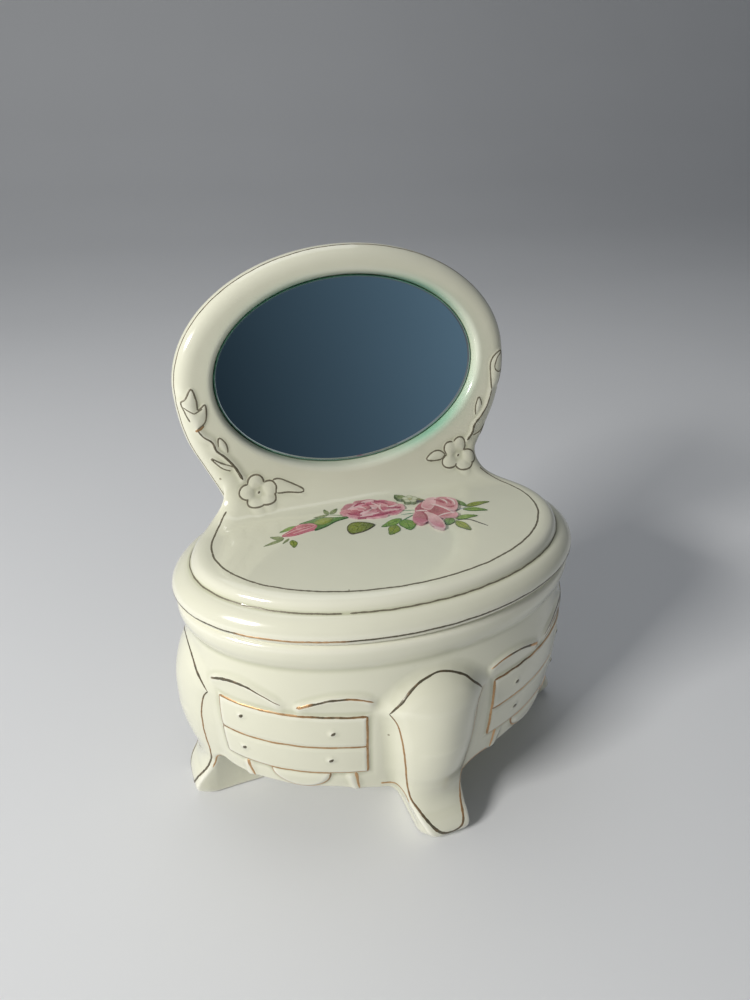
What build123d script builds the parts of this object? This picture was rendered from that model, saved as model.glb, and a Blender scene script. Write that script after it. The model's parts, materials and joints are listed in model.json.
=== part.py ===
"""Vanity trinket box: an oval ceramic box on four legs, with a lift-off lid that carries an oval mirror.

Millimetres. The origin is on the floor under the middle of the box. +Z is up, +X runs along the oval's long
axis, and the mirror faces -Y.
"""

from build123d import *

import os
from math import cos, radians, sin

# Oval plan. Every oval section is a turned profile, pressed to this depth-to-width ratio.
DEPTH_RATIO = 0.668

# Base: half-widths along X, and heights.
RIM_HALF_WIDTH = 52.6
COLLAR_HALF_WIDTH = 53.4
GROOVE_HALF_WIDTH = 51.8
WALL_HALF_WIDTH = 52.4
BELLY_HALF_WIDTH = 52.9
APRON_HALF_WIDTH = 51.0
CAVITY_HALF_WIDTH = 48.0
RIM_Z = 62.0
COLLAR_Z = 58.8
GROOVE_Z = 55.6
BELLY_Z = 36.0
APRON_Z = 16.5
FLOOR_UNDERSIDE_Z = 18.5
FLOOR_TOP_Z = 22.0

# Legs: (height, half-width across the leg, how far the leg's face stands out past the wall).
LEG_STATIONS = (
    (-1.0, 5.6, 1.0),
    (3.5, 6.7, 2.8),
    (9.0, 6.6, 1.2),
    (14.0, 7.2, 0.6),
    (26.0, 8.4, 2.8),
    (36.0, 10.0, 3.4),
    (42.0, 10.8, 3.0),
    (48.0, 8.4, 0.8),
    (52.5, 4.0, -1.6),
)
LEG_DEPTH = 5.5
FRONT_LEG_EXTRA = 3.2
FOOT_HALF_WIDTH = 5.8
FOOT_START_Z = -1.0
FOOT_SETBACK = 4.0
FOOT_LENGTH = 17.0
FOOT_TOP_LENGTH = 21.0
FOOT_TOP_Z = 20.0

# False drawers: angles round the box from +X, before it is pressed to the oval.
DRAWER_START_ANGLE = 28.0
DRAWER_END_ANGLE = 71.0
DRAWER_RELIEF = 0.7
DRAWER_BOTTOM_Z = 23.5
DRAWER_SPLIT_Z = 32.5
DRAWER_TOP_Z = 42.0
DRAWER_GAP = 0.8
KNOB_RADIUS = 1.1
KNOB_ANGLES = (36.0, 63.0)

# Scallop that hangs below each pair of drawers.
SCALLOP_ANGLE = 49.5
SCALLOP_HALF_WIDTH = 7.0
SCALLOP_DROP = 5.5
SCALLOP_RELIEF = 0.6

# Lid: half-widths along X, and heights.
LID_EDGE_Z = 63.6
LID_HALF_WIDTH = 54.0
LOWER_STEP_HALF_WIDTH = 49.0
LOWER_STEP_Z = 68.7
UPPER_STEP_HALF_WIDTH = 43.6
UPPER_STEP_Z = 72.0
CROWN_Z = 72.8
LID_CEILING_Z = 68.0
FLANGE_HALF_WIDTH = 46.8
FLANGE_WALL = 3.3
FLANGE_DROP = 4.0

# Mirror frame, in its own leaning plane: x across, y up the frame, z out of the glass.
MIRROR_CENTRE = (0.0, 22.3, 105.7)
LEAN_ANGLE = 5.0
FRAME_HALF_WIDTH = 45.8
FRAME_HALF_HEIGHT = 32.0
FRAME_SHOULDER = (43.7, -13.0)
FRAME_FLANK = (39.9, -21.5)
FRAME_WAIST = (37.1, -29.0)
FRAME_NECK = (36.0, -40.0)
FRAME_FRONT = 2.4
FRAME_BACK = -4.9
FRAME_ROUNDING = 3.0
GLASS_HALF_WIDTH = 35.8
GLASS_HALF_HEIGHT = 24.4
GLASS_THICKNESS = 2.0
GLASS_CHAMFER = 0.3
RECESS_GAP = 0.4
BACKING_INSET = 0.3
BACKING_THICKNESS = 0.2
ADHESIVE_THICKNESS = 0.5
DAB_RADIUS = 5.0
DAB_PLACES = ((0.0, 0.0), (20.0, 0.0), (-20.0, 0.0), (0.0, 14.0), (0.0, -14.0))


def turned(outline):
    """Turn a closed (half-width, height) outline about Z, as a round solid."""
    return revolve(Plane.XZ * make_face(outline), Axis.Z)


def round_plug(half_width, bottom, top):
    """A round plug from one height to another."""
    return extrude(Pos(0, 0, bottom) * Circle(half_width), amount=top - bottom)


def pressed_to_oval(solid):
    """Press a round solid to the oval plan. Its half-widths along X stay as they are."""
    return scale(solid, by=(1, DEPTH_RATIO, 1))


def stretched_to_round(solid):
    """The reverse of pressed_to_oval, for a piece made at its true size."""
    return scale(solid, by=(1, 1 / DEPTH_RATIO, 1))


def round_body():
    """The box's wall, floor and collar, before it is pressed to the oval."""
    collar = ThreePointArc(
        (RIM_HALF_WIDTH, RIM_Z), (COLLAR_HALF_WIDTH, COLLAR_Z), (GROOVE_HALF_WIDTH, GROOVE_Z)
    )
    wall = Spline(
        (GROOVE_HALF_WIDTH, GROOVE_Z),
        (WALL_HALF_WIDTH, GROOVE_Z - 5),
        (BELLY_HALF_WIDTH, BELLY_Z),
        (APRON_HALF_WIDTH, APRON_Z),
    )
    inside = Polyline(
        (APRON_HALF_WIDTH, APRON_Z),
        (CAVITY_HALF_WIDTH, APRON_Z),
        (CAVITY_HALF_WIDTH, FLOOR_UNDERSIDE_Z),
        (0, FLOOR_UNDERSIDE_Z),
        (0, FLOOR_TOP_Z),
        (CAVITY_HALF_WIDTH, FLOOR_TOP_Z),
        (CAVITY_HALF_WIDTH, RIM_Z),
        (RIM_HALF_WIDTH, RIM_Z),
    )
    return turned([collar, wall, inside])


def leg(wall_distance, extra_reach):
    """One cabriole leg that points to -Y: a lofted face, and the long foot that runs in under the box."""
    sections = []
    for height, half_width, reach in LEG_STATIONS:
        face_y = -(wall_distance + reach + extra_reach)
        centre = Location((0, face_y + LEG_DEPTH, height))
        sections.append(centre * Ellipse(half_width, LEG_DEPTH))
    shin = loft(sections)
    foot_front = -(wall_distance + extra_reach - FOOT_SETBACK)
    foot_side = make_face(
        Polyline(
            (foot_front, FOOT_START_Z),
            (foot_front + FOOT_LENGTH, FOOT_START_Z),
            (foot_front + FOOT_TOP_LENGTH, FOOT_TOP_Z),
            (foot_front, FOOT_TOP_Z),
            close=True,
        )
    )
    foot = extrude(Plane.YZ * foot_side, amount=FOOT_HALF_WIDTH, both=True)
    return shin + foot


def four_legs():
    """Front and back legs stand out a little further than the two side legs."""
    front = leg(WALL_HALF_WIDTH * DEPTH_RATIO, FRONT_LEG_EXTRA)
    side = leg(WALL_HALF_WIDTH, 0)
    return front + Rot(Z=90) * side + Rot(Z=180) * front + Rot(Z=270) * side


def round_drawer(bottom, top):
    """One raised drawer front with its two knobs, in the quarter that starts at +X."""
    inner = GROOVE_HALF_WIDTH - DRAWER_RELIEF
    outer = BELLY_HALF_WIDTH + DRAWER_RELIEF
    section = Plane.XZ * make_face(
        Polyline((inner, bottom), (outer, bottom), (outer, top), (inner, top), close=True)
    )
    sweep_angle = DRAWER_END_ANGLE - DRAWER_START_ANGLE
    front = Rot(Z=DRAWER_START_ANGLE) * revolve(section, Axis.Z, revolution_arc=sweep_angle)
    for angle in KNOB_ANGLES:
        front += Rot(Z=angle) * Pos(outer, 0, (bottom + top) / 2) * Sphere(KNOB_RADIUS)
    return front


def round_scallop():
    """The rounded pendant below a pair of drawers, standing just proud of the apron."""
    outline = Plane.YZ.offset(APRON_HALF_WIDTH - SCALLOP_DROP) * (
        Pos(0, DRAWER_BOTTOM_Z) * Ellipse(SCALLOP_HALF_WIDTH, SCALLOP_DROP)
    )
    pendant = Rot(Z=SCALLOP_ANGLE) * extrude(outline, amount=2 * SCALLOP_DROP)
    outer = BELLY_HALF_WIDTH + SCALLOP_RELIEF
    shell = round_plug(outer, 0, DRAWER_BOTTOM_Z) - round_plug(CAVITY_HALF_WIDTH, 0, DRAWER_BOTTOM_Z)
    return pendant & shell


def round_relief():
    """The drawers and scallop of all four quarters."""
    quarter = round_drawer(DRAWER_BOTTOM_Z, DRAWER_SPLIT_Z - DRAWER_GAP / 2)
    quarter += round_drawer(DRAWER_SPLIT_Z + DRAWER_GAP / 2, DRAWER_TOP_Z)
    quarter += round_scallop()
    half = quarter + Rot(Z=90) * quarter
    return half + Rot(Z=180) * half


def box_base():
    """The base casting. The legs start a little low, and the floor plane cuts their feet flat and level."""
    above_floor = round_plug(CAVITY_HALF_WIDTH, (FLOOR_UNDERSIDE_Z + FLOOR_TOP_Z) / 2, RIM_Z)
    legs = stretched_to_round(four_legs()) - above_floor
    casting = pressed_to_oval(round_body() + round_relief() + legs)
    ground_size = 4 * COLLAR_HALF_WIDTH
    ground = Pos(0, 0, FOOT_START_Z) * Box(ground_size, ground_size, -2 * FOOT_START_Z)
    return casting - ground


def lid_hollow():
    """The round plug that hollows the lid from below, inside its flange."""
    return round_plug(FLANGE_HALF_WIDTH - FLANGE_WALL, RIM_Z - 2 * FLANGE_DROP, LID_CEILING_Z)


def lid_shell():
    """The stepped oval lid with its locating flange, before it is hollowed."""
    lower_roll = ThreePointArc(
        (LID_HALF_WIDTH, LID_EDGE_Z),
        (LID_HALF_WIDTH - 1.6, LID_EDGE_Z + 3.4),
        (LOWER_STEP_HALF_WIDTH, LOWER_STEP_Z),
    )
    upper_roll = ThreePointArc(
        (LOWER_STEP_HALF_WIDTH, LOWER_STEP_Z),
        (LOWER_STEP_HALF_WIDTH - 1.7, UPPER_STEP_Z - 0.9),
        (UPPER_STEP_HALF_WIDTH, UPPER_STEP_Z),
    )
    crown = Spline(
        (UPPER_STEP_HALF_WIDTH, UPPER_STEP_Z),
        (UPPER_STEP_HALF_WIDTH / 2, CROWN_Z - 0.15),
        (0, CROWN_Z),
    )
    rest = Polyline(
        (0, CROWN_Z),
        (0, RIM_Z - FLANGE_DROP),
        (FLANGE_HALF_WIDTH, RIM_Z - FLANGE_DROP),
        (FLANGE_HALF_WIDTH, RIM_Z),
        (LID_HALF_WIDTH - 0.8, RIM_Z),
        (LID_HALF_WIDTH, LID_EDGE_Z),
    )
    return turned([lower_roll, upper_roll, crown, rest])


def mirror_plane(out=0.0):
    """The leaning plane through the glass's face, moved along its normal towards the viewer by out."""
    lean = radians(LEAN_ANGLE)
    face = Plane(origin=MIRROR_CENTRE, x_dir=(1, 0, 0), z_dir=(0, -cos(lean), sin(lean)))
    return face.offset(out)


def mirror_frame():
    """The frame: an oval above, drawn in to a neck where it stands on the lid."""
    crest = EllipticalCenterArc((0, 0), FRAME_HALF_WIDTH, FRAME_HALF_HEIGHT, 0, arc_size=180)
    flank_points = [(FRAME_HALF_WIDTH, 0), FRAME_SHOULDER, FRAME_FLANK, FRAME_WAIST, FRAME_NECK]
    right = Spline(*flank_points, tangents=[(0, -1), (0, -1)])
    left = Spline(*[(-x, y) for x, y in flank_points], tangents=[(0, -1), (0, -1)])
    foot = Line((FRAME_NECK[0], FRAME_NECK[1]), (-FRAME_NECK[0], FRAME_NECK[1]))
    outline = make_face([crest, right, foot, left])
    slab = extrude(mirror_plane(FRAME_BACK) * outline, amount=FRAME_FRONT - FRAME_BACK)
    broad = slab.faces().sort_by(Axis.Y)
    foot_z = MIRROR_CENTRE[2] + FRAME_NECK[1] + 1
    rims = [edge for edge in broad[0].edges() + broad[-1].edges() if edge.center().Z > foot_z]
    return fillet(rims, FRAME_ROUNDING)


def mirror_recess():
    """The oval pocket that the mirror is glued into."""
    depth = GLASS_THICKNESS + BACKING_THICKNESS + ADHESIVE_THICKNESS
    outline = Ellipse(GLASS_HALF_WIDTH + RECESS_GAP, GLASS_HALF_HEIGHT + RECESS_GAP)
    return extrude(mirror_plane(-depth) * outline, amount=depth + 2 * FRAME_FRONT)


def lid():
    """The lid casting: the stepped oval, and the mirror frame whose foot runs down into it."""
    shell = pressed_to_oval(lid_shell() - lid_hollow())
    half_width = FLANGE_HALF_WIDTH - FLANGE_WALL
    hollow_plan = Pos(0, 0, RIM_Z - FLANGE_DROP) * Ellipse(half_width, half_width * DEPTH_RATIO)
    frame = mirror_frame() - extrude(hollow_plan, amount=LID_CEILING_Z + FLANGE_DROP - RIM_Z)
    return shell + frame - mirror_recess()


def mirror_glass():
    """The pane, with its front and back edges just broken."""
    outline = mirror_plane(-GLASS_THICKNESS) * Ellipse(GLASS_HALF_WIDTH, GLASS_HALF_HEIGHT)
    pane = extrude(outline, amount=GLASS_THICKNESS)
    return chamfer(pane.edges().filter_by(GeomType.ELLIPSE), GLASS_CHAMFER)


def mirror_backing():
    """The silvering and its paint, on the back of the pane."""
    inset = GLASS_CHAMFER + BACKING_INSET
    outline = Ellipse(GLASS_HALF_WIDTH - inset, GLASS_HALF_HEIGHT - inset)
    back = mirror_plane(-GLASS_THICKNESS - BACKING_THICKNESS)
    return extrude(back * outline, amount=BACKING_THICKNESS)


def mirror_adhesive():
    """Dabs of glue between the backing and the floor of the recess."""
    plane = mirror_plane(-GLASS_THICKNESS - BACKING_THICKNESS - ADHESIVE_THICKNESS)
    dabs = []
    for x, y in DAB_PLACES:
        dabs.append(extrude(plane * Pos(x, y) * Circle(DAB_RADIUS), amount=ADHESIVE_THICKNESS))
    return Compound(children=dabs)


def main():
    os.makedirs("parts", exist_ok=True)
    export_step(box_base(), "parts/box_base.step")
    export_step(lid(), "parts/lid.step")
    export_step(mirror_glass(), "parts/mirror_glass.step")
    export_step(mirror_backing(), "parts/mirror_backing.step")
    export_step(mirror_adhesive(), "parts/mirror_adhesive.step")


main()
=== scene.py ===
import json
import math

import bmesh
import bpy
import numpy as np
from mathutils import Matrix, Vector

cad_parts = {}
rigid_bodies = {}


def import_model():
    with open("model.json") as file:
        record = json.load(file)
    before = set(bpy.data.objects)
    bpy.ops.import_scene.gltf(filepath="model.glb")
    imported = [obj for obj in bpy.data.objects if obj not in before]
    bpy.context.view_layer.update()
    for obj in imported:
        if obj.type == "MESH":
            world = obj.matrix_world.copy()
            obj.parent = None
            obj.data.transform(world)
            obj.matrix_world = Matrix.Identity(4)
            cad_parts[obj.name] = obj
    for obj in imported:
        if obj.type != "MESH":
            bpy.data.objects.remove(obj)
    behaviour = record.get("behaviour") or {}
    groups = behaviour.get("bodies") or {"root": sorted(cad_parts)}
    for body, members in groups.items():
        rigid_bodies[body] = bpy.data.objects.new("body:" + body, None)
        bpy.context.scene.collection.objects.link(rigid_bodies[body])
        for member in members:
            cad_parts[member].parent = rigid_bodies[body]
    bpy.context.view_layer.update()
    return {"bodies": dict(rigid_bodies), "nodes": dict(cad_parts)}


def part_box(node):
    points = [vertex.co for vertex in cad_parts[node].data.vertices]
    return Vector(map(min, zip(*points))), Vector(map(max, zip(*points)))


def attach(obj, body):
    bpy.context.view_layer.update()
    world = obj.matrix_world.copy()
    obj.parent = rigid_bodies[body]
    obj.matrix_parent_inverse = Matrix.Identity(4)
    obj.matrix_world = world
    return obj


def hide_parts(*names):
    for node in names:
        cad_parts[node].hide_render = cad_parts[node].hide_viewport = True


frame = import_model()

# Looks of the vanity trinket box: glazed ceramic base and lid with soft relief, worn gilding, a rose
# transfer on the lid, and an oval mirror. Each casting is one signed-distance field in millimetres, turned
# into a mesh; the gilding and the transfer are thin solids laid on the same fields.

import openvdb
from mathutils import Vector

MM = 0.001
rng = np.random.default_rng(11)


# ---------------------------------------------------------------- sizes, from the CAD frame, in millimetres
def node_box(name):
    """Lowest and highest corner of a CAD node."""
    low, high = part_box(name)
    return np.array(low) / MM, np.array(high) / MM


BASE_LOW, BASE_HIGH = node_box("box_base")
LID_LOW, LID_HIGH = node_box("lid")
PANE_LOW, PANE_HIGH = node_box("mirror_glass")

RIM_Z = BASE_HIGH[2]
FLANGE_Z = LID_LOW[2]
LID_HALF = LID_HIGH[0]
RATIO = (LID_HIGH[1] - LID_LOW[1]) / (LID_HIGH[0] - LID_LOW[0])

# Mirror plane: across, up the frame, and out of the glass.
LEAN = math.radians(5.0)
UP = np.array([0.0, math.sin(LEAN), math.cos(LEAN)])
OUT = np.array([0.0, -math.cos(LEAN), math.sin(LEAN)])
PANE_THICKNESS = 2.0
PANE_HALF_WIDTH = (PANE_HIGH[0] - PANE_LOW[0]) / 2
PANE_HALF_HEIGHT = PANE_HALF_WIDTH * 0.6816
PANE_CENTRE = (PANE_LOW + PANE_HIGH) / 2 + OUT * PANE_THICKNESS / 2

# Base.
RIM_GAP = 0.06
CAVITY_HALF = 48.0
FLOOR_TOP = 22.0
FLOOR_UNDERSIDE = 18.5
WALL_HALF = 52.4
WALL_PROFILE = (
    (10.0, 50.0), (16.5, 50.8), (24.0, 52.0), (36.0, 53.0), (46.0, 52.6), (52.6, 51.8), (54.4, 51.65),
    (56.0, 52.5), (58.4, 53.3), (60.6, 53.2), (62.0, 52.5), (64.0, 51.6),
)

# The apron's lower edge drops into the front and back legs over these widths, on a leg's right and left, and
# ends this far from the leg's middle.
APRON_Z = 16.6
APRON_DROP_RIGHT = 8.0
APRON_DROP_LEFT = 3.5
APRON_DROP_END = 8.6

# Legs: outline of the face as (half-width, height), then (height, value) for how far the face stands out, how
# much it is crowned, and how far the front and back legs lean to their right.
LEG_OUTLINE = (
    (0.0, -0.8), (3.1, -0.4), (4.7, 1.1), (5.6, 3.1), (6.1, 5.4), (6.7, 8.2), (7.4, 11.2), (8.2, 14.6),
    (9.0, 18.4), (9.9, 23.0), (10.4, 28.0), (10.9, 33.5), (11.4, 37.3), (12.1, 40.0), (13.1, 42.0),
    (12.0, 44.0), (9.6, 46.8), (6.8, 49.0), (3.4, 50.7), (0.0, 51.3),
)
LEG_REACH = (
    (-1.0, -1.0), (0.0, 1.4), (1.0, 3.0), (2.2, 3.7), (3.5, 3.8), (6.0, 3.1), (9.0, 1.6), (13.0, 0.7),
    (17.0, 1.2), (22.0, 2.6), (28.0, 3.7), (35.0, 4.1), (41.0, 3.6), (46.0, 2.0), (50.0, -0.4), (54.0, -2.8),
    (60.0, -6.0),
)
LEG_CROWN = (
    (-1.0, 0.01), (6.0, 0.012), (12.0, 0.03), (18.0, 0.043), (32.0, 0.045), (38.0, 0.043), (43.0, 0.036),
    (54.0, 0.03),
)
LEG_ROUNDING = 3.4
FRONT_LEG_EXTRA = 3.2
FRONT_TOE_EXTRA = 0.3
FRONT_LEG_LEAN = (
    (-1.0, 3.0), (1.8, 2.9), (4.3, 2.3), (8.5, 1.0), (13.0, 0.1), (16.0, 0.0), (20.0, 0.0), (60.0, 0.0),
)
WEB_HALF = 5.8
WEB_LENGTH = 17.0

# Drawers, in (along the wall from the middle of the pair, height). A tab is its place and its lean, a tab line
# its place alone, and the scallop its middle, half-width and drop.
DRAWER_MIDDLE = math.radians(40.0)
DRAWER_HALF = 18.1
DRAWER_BOTTOM = 23.5
DRAWER_SPLIT = 32.5
DRAWER_TOP = 42.0
KNOB_PLACES = ((-11.8, 38.8), (10.2, 37.4), (-12.1, 28.3), (9.4, 28.4))
TABS = ((-12.3, -0.1), (13.7, 0.2))
TAB_LINES = (-12.5, 15.0)
BROWS = (
    ((-20.5, 46.3), (-17.5, 47.6), (-14.0, 48.2), (-10.5, 47.9), (-7.2, 46.8), (-2.0, 44.3)),
    ((2.0, 44.0), (5.5, 45.3), (8.5, 46.2), (12.5, 46.6), (16.5, 46.2), (19.5, 45.1)),
)
SCALLOP = (1.5, 7.3, 5.6)

# Lid.
LID_PROFILE_ROLLS = (
    ((LID_HALF - 0.3, 63.2), (LID_HALF, 64.0), (53.6, 65.6), (52.3, 67.2), (50.8, 68.2), (49.0, 68.7)),
    ((49.0, 68.7), (48.6, 70.0), (47.6, 71.1), (46.0, 71.7), (43.6, 71.9)),
)
RING_1, RING_2, RING_3 = (LID_HALF - 0.02, 63.7), (49.0, 68.7), (43.6, 71.9)
RING_2_GAP = math.radians(335.6)
CROWN_Z = 72.8
CEILING_Z = 68.0
FLANGE_HALF = 46.8
FLANGE_WALL = 3.3

# Mirror frame, in (across, up).
FRAME_HALF_WIDTH = 45.8
FRAME_HALF_HEIGHT = 32.0
FRAME_FLANK = (
    (45.8, 0.0), (45.6, -4.0), (43.9, -13.0), (40.2, -21.5), (36.9, -29.0), (35.3, -34.5), (35.0, -42.0),
)
FRAME_BACK = -4.9
FRAME_FRONT = 2.4
FRAME_ROUNDING = 4.6
FRAME_LINE_END = -33.0
RECESS_GAP = 0.16
RECESS_DEPTH = 2.7


# ---------------------------------------------------------------- field tools
def smooth_min(a, b, k):
    """The lesser of two distances, with a fillet of about k where they meet."""
    h = np.clip(0.5 + 0.5 * (b - a) / k, 0, 1)
    return b + (a - b) * h - k * h * (1 - h)


def smooth_max(a, b, k):
    """The greater of two distances, with a rounding of about k where they meet."""
    return -smooth_min(-a, -b, k)


def smooth_step(low, high, value):
    """0 at low, 1 at high, and smooth between. low may be the greater of the two."""
    t = np.clip((value - low) / (high - low), 0, 1)
    return t * t * (3 - 2 * t)


def hill(distance, width):
    """1 at distance 0, and next to nothing two widths away."""
    return np.exp(-((distance / width) ** 2))


def smooth_curve(points, per_span=10, closed=False):
    """A smooth curve through points of any dimension."""
    p = np.array(points, float)
    if len(p) == 2:
        return p[0] + np.linspace(0, 1, per_span + 1)[:, None] * (p[1] - p[0])
    if closed:
        p = np.vstack([p[-2:], p, p[:3]])
    span = np.maximum(np.linalg.norm(np.diff(p, axis=0), axis=1), 1e-6)
    slope = np.diff(p, axis=0) / span[:, None]
    inner = (slope[:-1] * span[1:, None] + slope[1:] * span[:-1, None]) / (span[:-1] + span[1:])[:, None]
    tangent = np.vstack([1.5 * slope[:1] - 0.5 * inner[:1], inner, 1.5 * slope[-1:] - 0.5 * inner[-1:]])
    t = np.linspace(0, 1, per_span, endpoint=False)[:, None]
    pieces = []
    for i in range(len(p) - 1):
        m0, m1 = tangent[i] * span[i], tangent[i + 1] * span[i]
        pieces.append(
            (2 * t**3 - 3 * t**2 + 1) * p[i] + (t**3 - 2 * t**2 + t) * m0
            + (3 * t**2 - 2 * t**3) * p[i + 1] + (t**3 - t**2) * m1
        )
    curve = np.vstack(pieces + [p[-1:]])
    if closed:
        curve = curve[2 * per_span : -2 * per_span - 1]
    return curve


def table(points):
    """A smooth function of one number through (number, value) points."""
    curve = smooth_curve(points)
    return lambda value: np.interp(value, curve[:, 0], curve[:, 1]).astype(np.float32)


def signed_distance(outline, a, b):
    """Distance from the points (a, b) to a closed outline, negative inside it."""
    nearest = np.full(a.shape, np.inf)
    inside = np.zeros(a.shape, bool)
    for (a0, b0), (a1, b1) in zip(outline, np.roll(outline, -1, axis=0)):
        da, db = a1 - a0, b1 - b0
        t = np.clip(((a - a0) * da + (b - b0) * db) / (da * da + db * db + 1e-12), 0, 1)
        nearest = np.minimum(nearest, (a - a0 - t * da) ** 2 + (b - b0 - t * db) ** 2)
        if b0 != b1:
            inside ^= ((b0 > b) != (b1 > b)) & (a < da * (b - b0) / db + a0)
    return np.where(inside, -1, 1) * np.sqrt(nearest)


class Chart:
    """A function of two numbers, kept on a fine grid and read between its points."""

    def __init__(self, low, high, step, function, soften=6):
        self.low, self.step = low, step
        sides = [np.arange(l, h + step, step) for l, h in zip(low, high)]
        self.shape = [len(side) for side in sides]
        values = function(*np.meshgrid(*sides, indexing="ij"))
        for _ in range(soften):
            values[1:-1] = (values[:-2] + 2 * values[1:-1] + values[2:]) / 4
            values[:, 1:-1] = (values[:, :-2] + 2 * values[:, 1:-1] + values[:, 2:]) / 4
        self.values = values.astype(np.float32)

    def __call__(self, a, b):
        u = np.clip((a - self.low[0]) / self.step, 0, self.shape[0] - 1.001)
        v = np.clip((b - self.low[1]) / self.step, 0, self.shape[1] - 1.001)
        i, j = u.astype(np.int32), v.astype(np.int32)
        u, v = (u - i).astype(np.float32), (v - j).astype(np.float32)
        k = i * self.shape[1] + j
        flat = self.values.ravel()
        near = flat[k] * (1 - v) + flat[k + 1] * v
        far = flat[k + self.shape[1]] * (1 - v) + flat[k + self.shape[1] + 1] * v
        return near * (1 - u) + far * u


def outline_chart(outline, margin=9.0, step=0.2, soften=6):
    """Signed distance to a closed outline, as a chart."""
    outline = np.array(outline)
    low, high = outline.min(0) - margin, outline.max(0) + margin
    return Chart(low, high, step, lambda a, b: signed_distance(outline, a, b), soften)


def oval_radius(x, y):
    """Half-width of the oval through a point, and how much faster that grows than true distance."""
    q = np.sqrt(x * x + (y / RATIO) ** 2)
    growth = np.sqrt(x * x + (y / RATIO**2) ** 2) / np.maximum(q, 1e-3)
    return q, np.maximum(growth, 1.0)


# ---------------------------------------------------------------- base
wall_radius = table(WALL_PROFILE)
leg_reach = table(LEG_REACH)
leg_crown = table(LEG_CROWN)
front_leg_lean = table(FRONT_LEG_LEAN)

# A quarter of the wall's oval: its turn from the back or front to the side, and the length along it so far.
QUARTER_TURN = np.linspace(0, math.pi / 2, 400)
QUARTER_SPEED = np.hypot(WALL_HALF * np.cos(QUARTER_TURN), WALL_HALF * RATIO * np.sin(QUARTER_TURN))
QUARTER_STEPS = (QUARTER_SPEED[1:] + QUARTER_SPEED[:-1]) / 2 * QUARTER_TURN[1]
QUARTER_LENGTH = np.concatenate([[0], np.cumsum(QUARTER_STEPS)])
MIDDLE_LENGTH = np.interp(DRAWER_MIDDLE, QUARTER_TURN, QUARTER_LENGTH)


def along_wall(x, y):
    """Distance along the wall from the middle of the nearest drawers, towards the front or back leg."""
    angle = np.arctan2(np.abs(x), np.abs(y) / RATIO)
    return (MIDDLE_LENGTH - np.interp(angle, QUARTER_TURN, QUARTER_LENGTH)).astype(np.float32)


def wall_point(s, z, quarter=(-1, -1)):
    """The place on the wall at distance s along it from the middle of the drawers, in one quarter."""
    angle = np.interp(MIDDLE_LENGTH - s, QUARTER_LENGTH, QUARTER_TURN)
    q = wall_radius(z)
    return np.stack([quarter[0] * q * np.sin(angle), quarter[1] * q * RATIO * np.cos(angle), z + 0 * s], -1)


def drawer_slope(s):
    """How far the drawers stand above their nominal height: they run down towards the front or back leg."""
    return -0.4 - 0.042 * s


def panel_relief(s, z):
    """A raised panel with a groove where it splits into two drawers, and a faint groove round it."""
    middle, half = (DRAWER_TOP + DRAWER_BOTTOM) / 2, (DRAWER_TOP - DRAWER_BOTTOM) / 2
    edge = np.maximum(np.abs(s) - DRAWER_HALF, np.abs(z - middle) - half)
    inside = smooth_step(0.7, -0.7, edge)
    return 0.42 * inside - 0.24 * inside * hill(z - DRAWER_SPLIT, 0.7) - 0.1 * hill(edge - 1.0, 0.8)


def brow_relief(s, z, brow):
    """A ridge along the brow's curve, with a low shelf that fades out below it."""
    curve = smooth_curve(brow)
    above = z - np.interp(s, curve[:, 0], curve[:, 1])
    start, end = brow[0][0], brow[-1][0]
    window = smooth_step(start - 1.6, start + 1.2, s) * smooth_step(end + 1.6, end - 1.2, s)
    ridge = np.where(above > 0, 0.55 * hill(above, 1.1), 0.25 + 0.3 * hill(above, 1.3))
    return window * ridge * smooth_step(-4.5, -1.0, above)


def quarter_relief(s, true_z):
    """Height of the drawers, knobs, brows, scallop and tabs above the wall."""
    z = true_z - drawer_slope(s)
    height = panel_relief(s, z)
    for knob_s, knob_z in KNOB_PLACES:
        height += 0.34 * hill(np.hypot(s - knob_s, z - knob_z), 0.9)
    for brow in BROWS:
        height += brow_relief(s, true_z, brow)
    middle, half, drop = SCALLOP
    bowl = (np.hypot((s - middle) / half, (z - DRAWER_BOTTOM) / drop) - 1) * drop
    bowl = np.maximum(bowl, z - DRAWER_BOTTOM + 0.4)
    height += 0.7 * smooth_step(0.8, -0.8, bowl)
    for tab_s, tab_lean in TABS:
        middle = tab_s + tab_lean * (DRAWER_BOTTOM - z)
        height += 0.5 * hill(s - middle, 1.3) * smooth_step(DRAWER_BOTTOM, DRAWER_BOTTOM - 1.5, z)
    return height


relief_chart = Chart((-36.0, 12.0), (36.0, 54.0), 0.1, quarter_relief)
FRONT_LEG_S = float(along_wall(0.0, 1.0))


def apron_edge(s, right):
    """Height of the apron's lower edge: it dips at the scallop, lifts beside the side legs, and sweeps down a
    little into the front and back legs, further on the right of each."""
    middle, half, _ = SCALLOP
    dip = 0.7 * hill(s - middle, 0.7 * half)
    level = APRON_Z - dip + 0.9 * smooth_step(18.0, 27.0, -s) - 3.2 * smooth_step(2.0, 29.0, s)
    sweep = np.where(right, APRON_DROP_RIGHT, APRON_DROP_LEFT)
    turn = np.clip((s - FRONT_LEG_S + APRON_DROP_END + sweep) / sweep, 0, 1)
    return level - 0.9 * sweep * (1 - np.sqrt(np.maximum(1 - turn * turn, 0)))


def closed_half(points):
    """A closed outline that is symmetric about its second axis, from its right half."""
    right = np.array(points)
    return np.vstack([right, right[::-1] * (-1, 1)])


leg_outline = outline_chart(closed_half(LEG_OUTLINE))


def leg_lean(z, extra):
    """How far a leg's toe leans to its right at height z: only the front and back legs lean."""
    return front_leg_lean(z) * (extra / FRONT_LEG_EXTRA)


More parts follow.
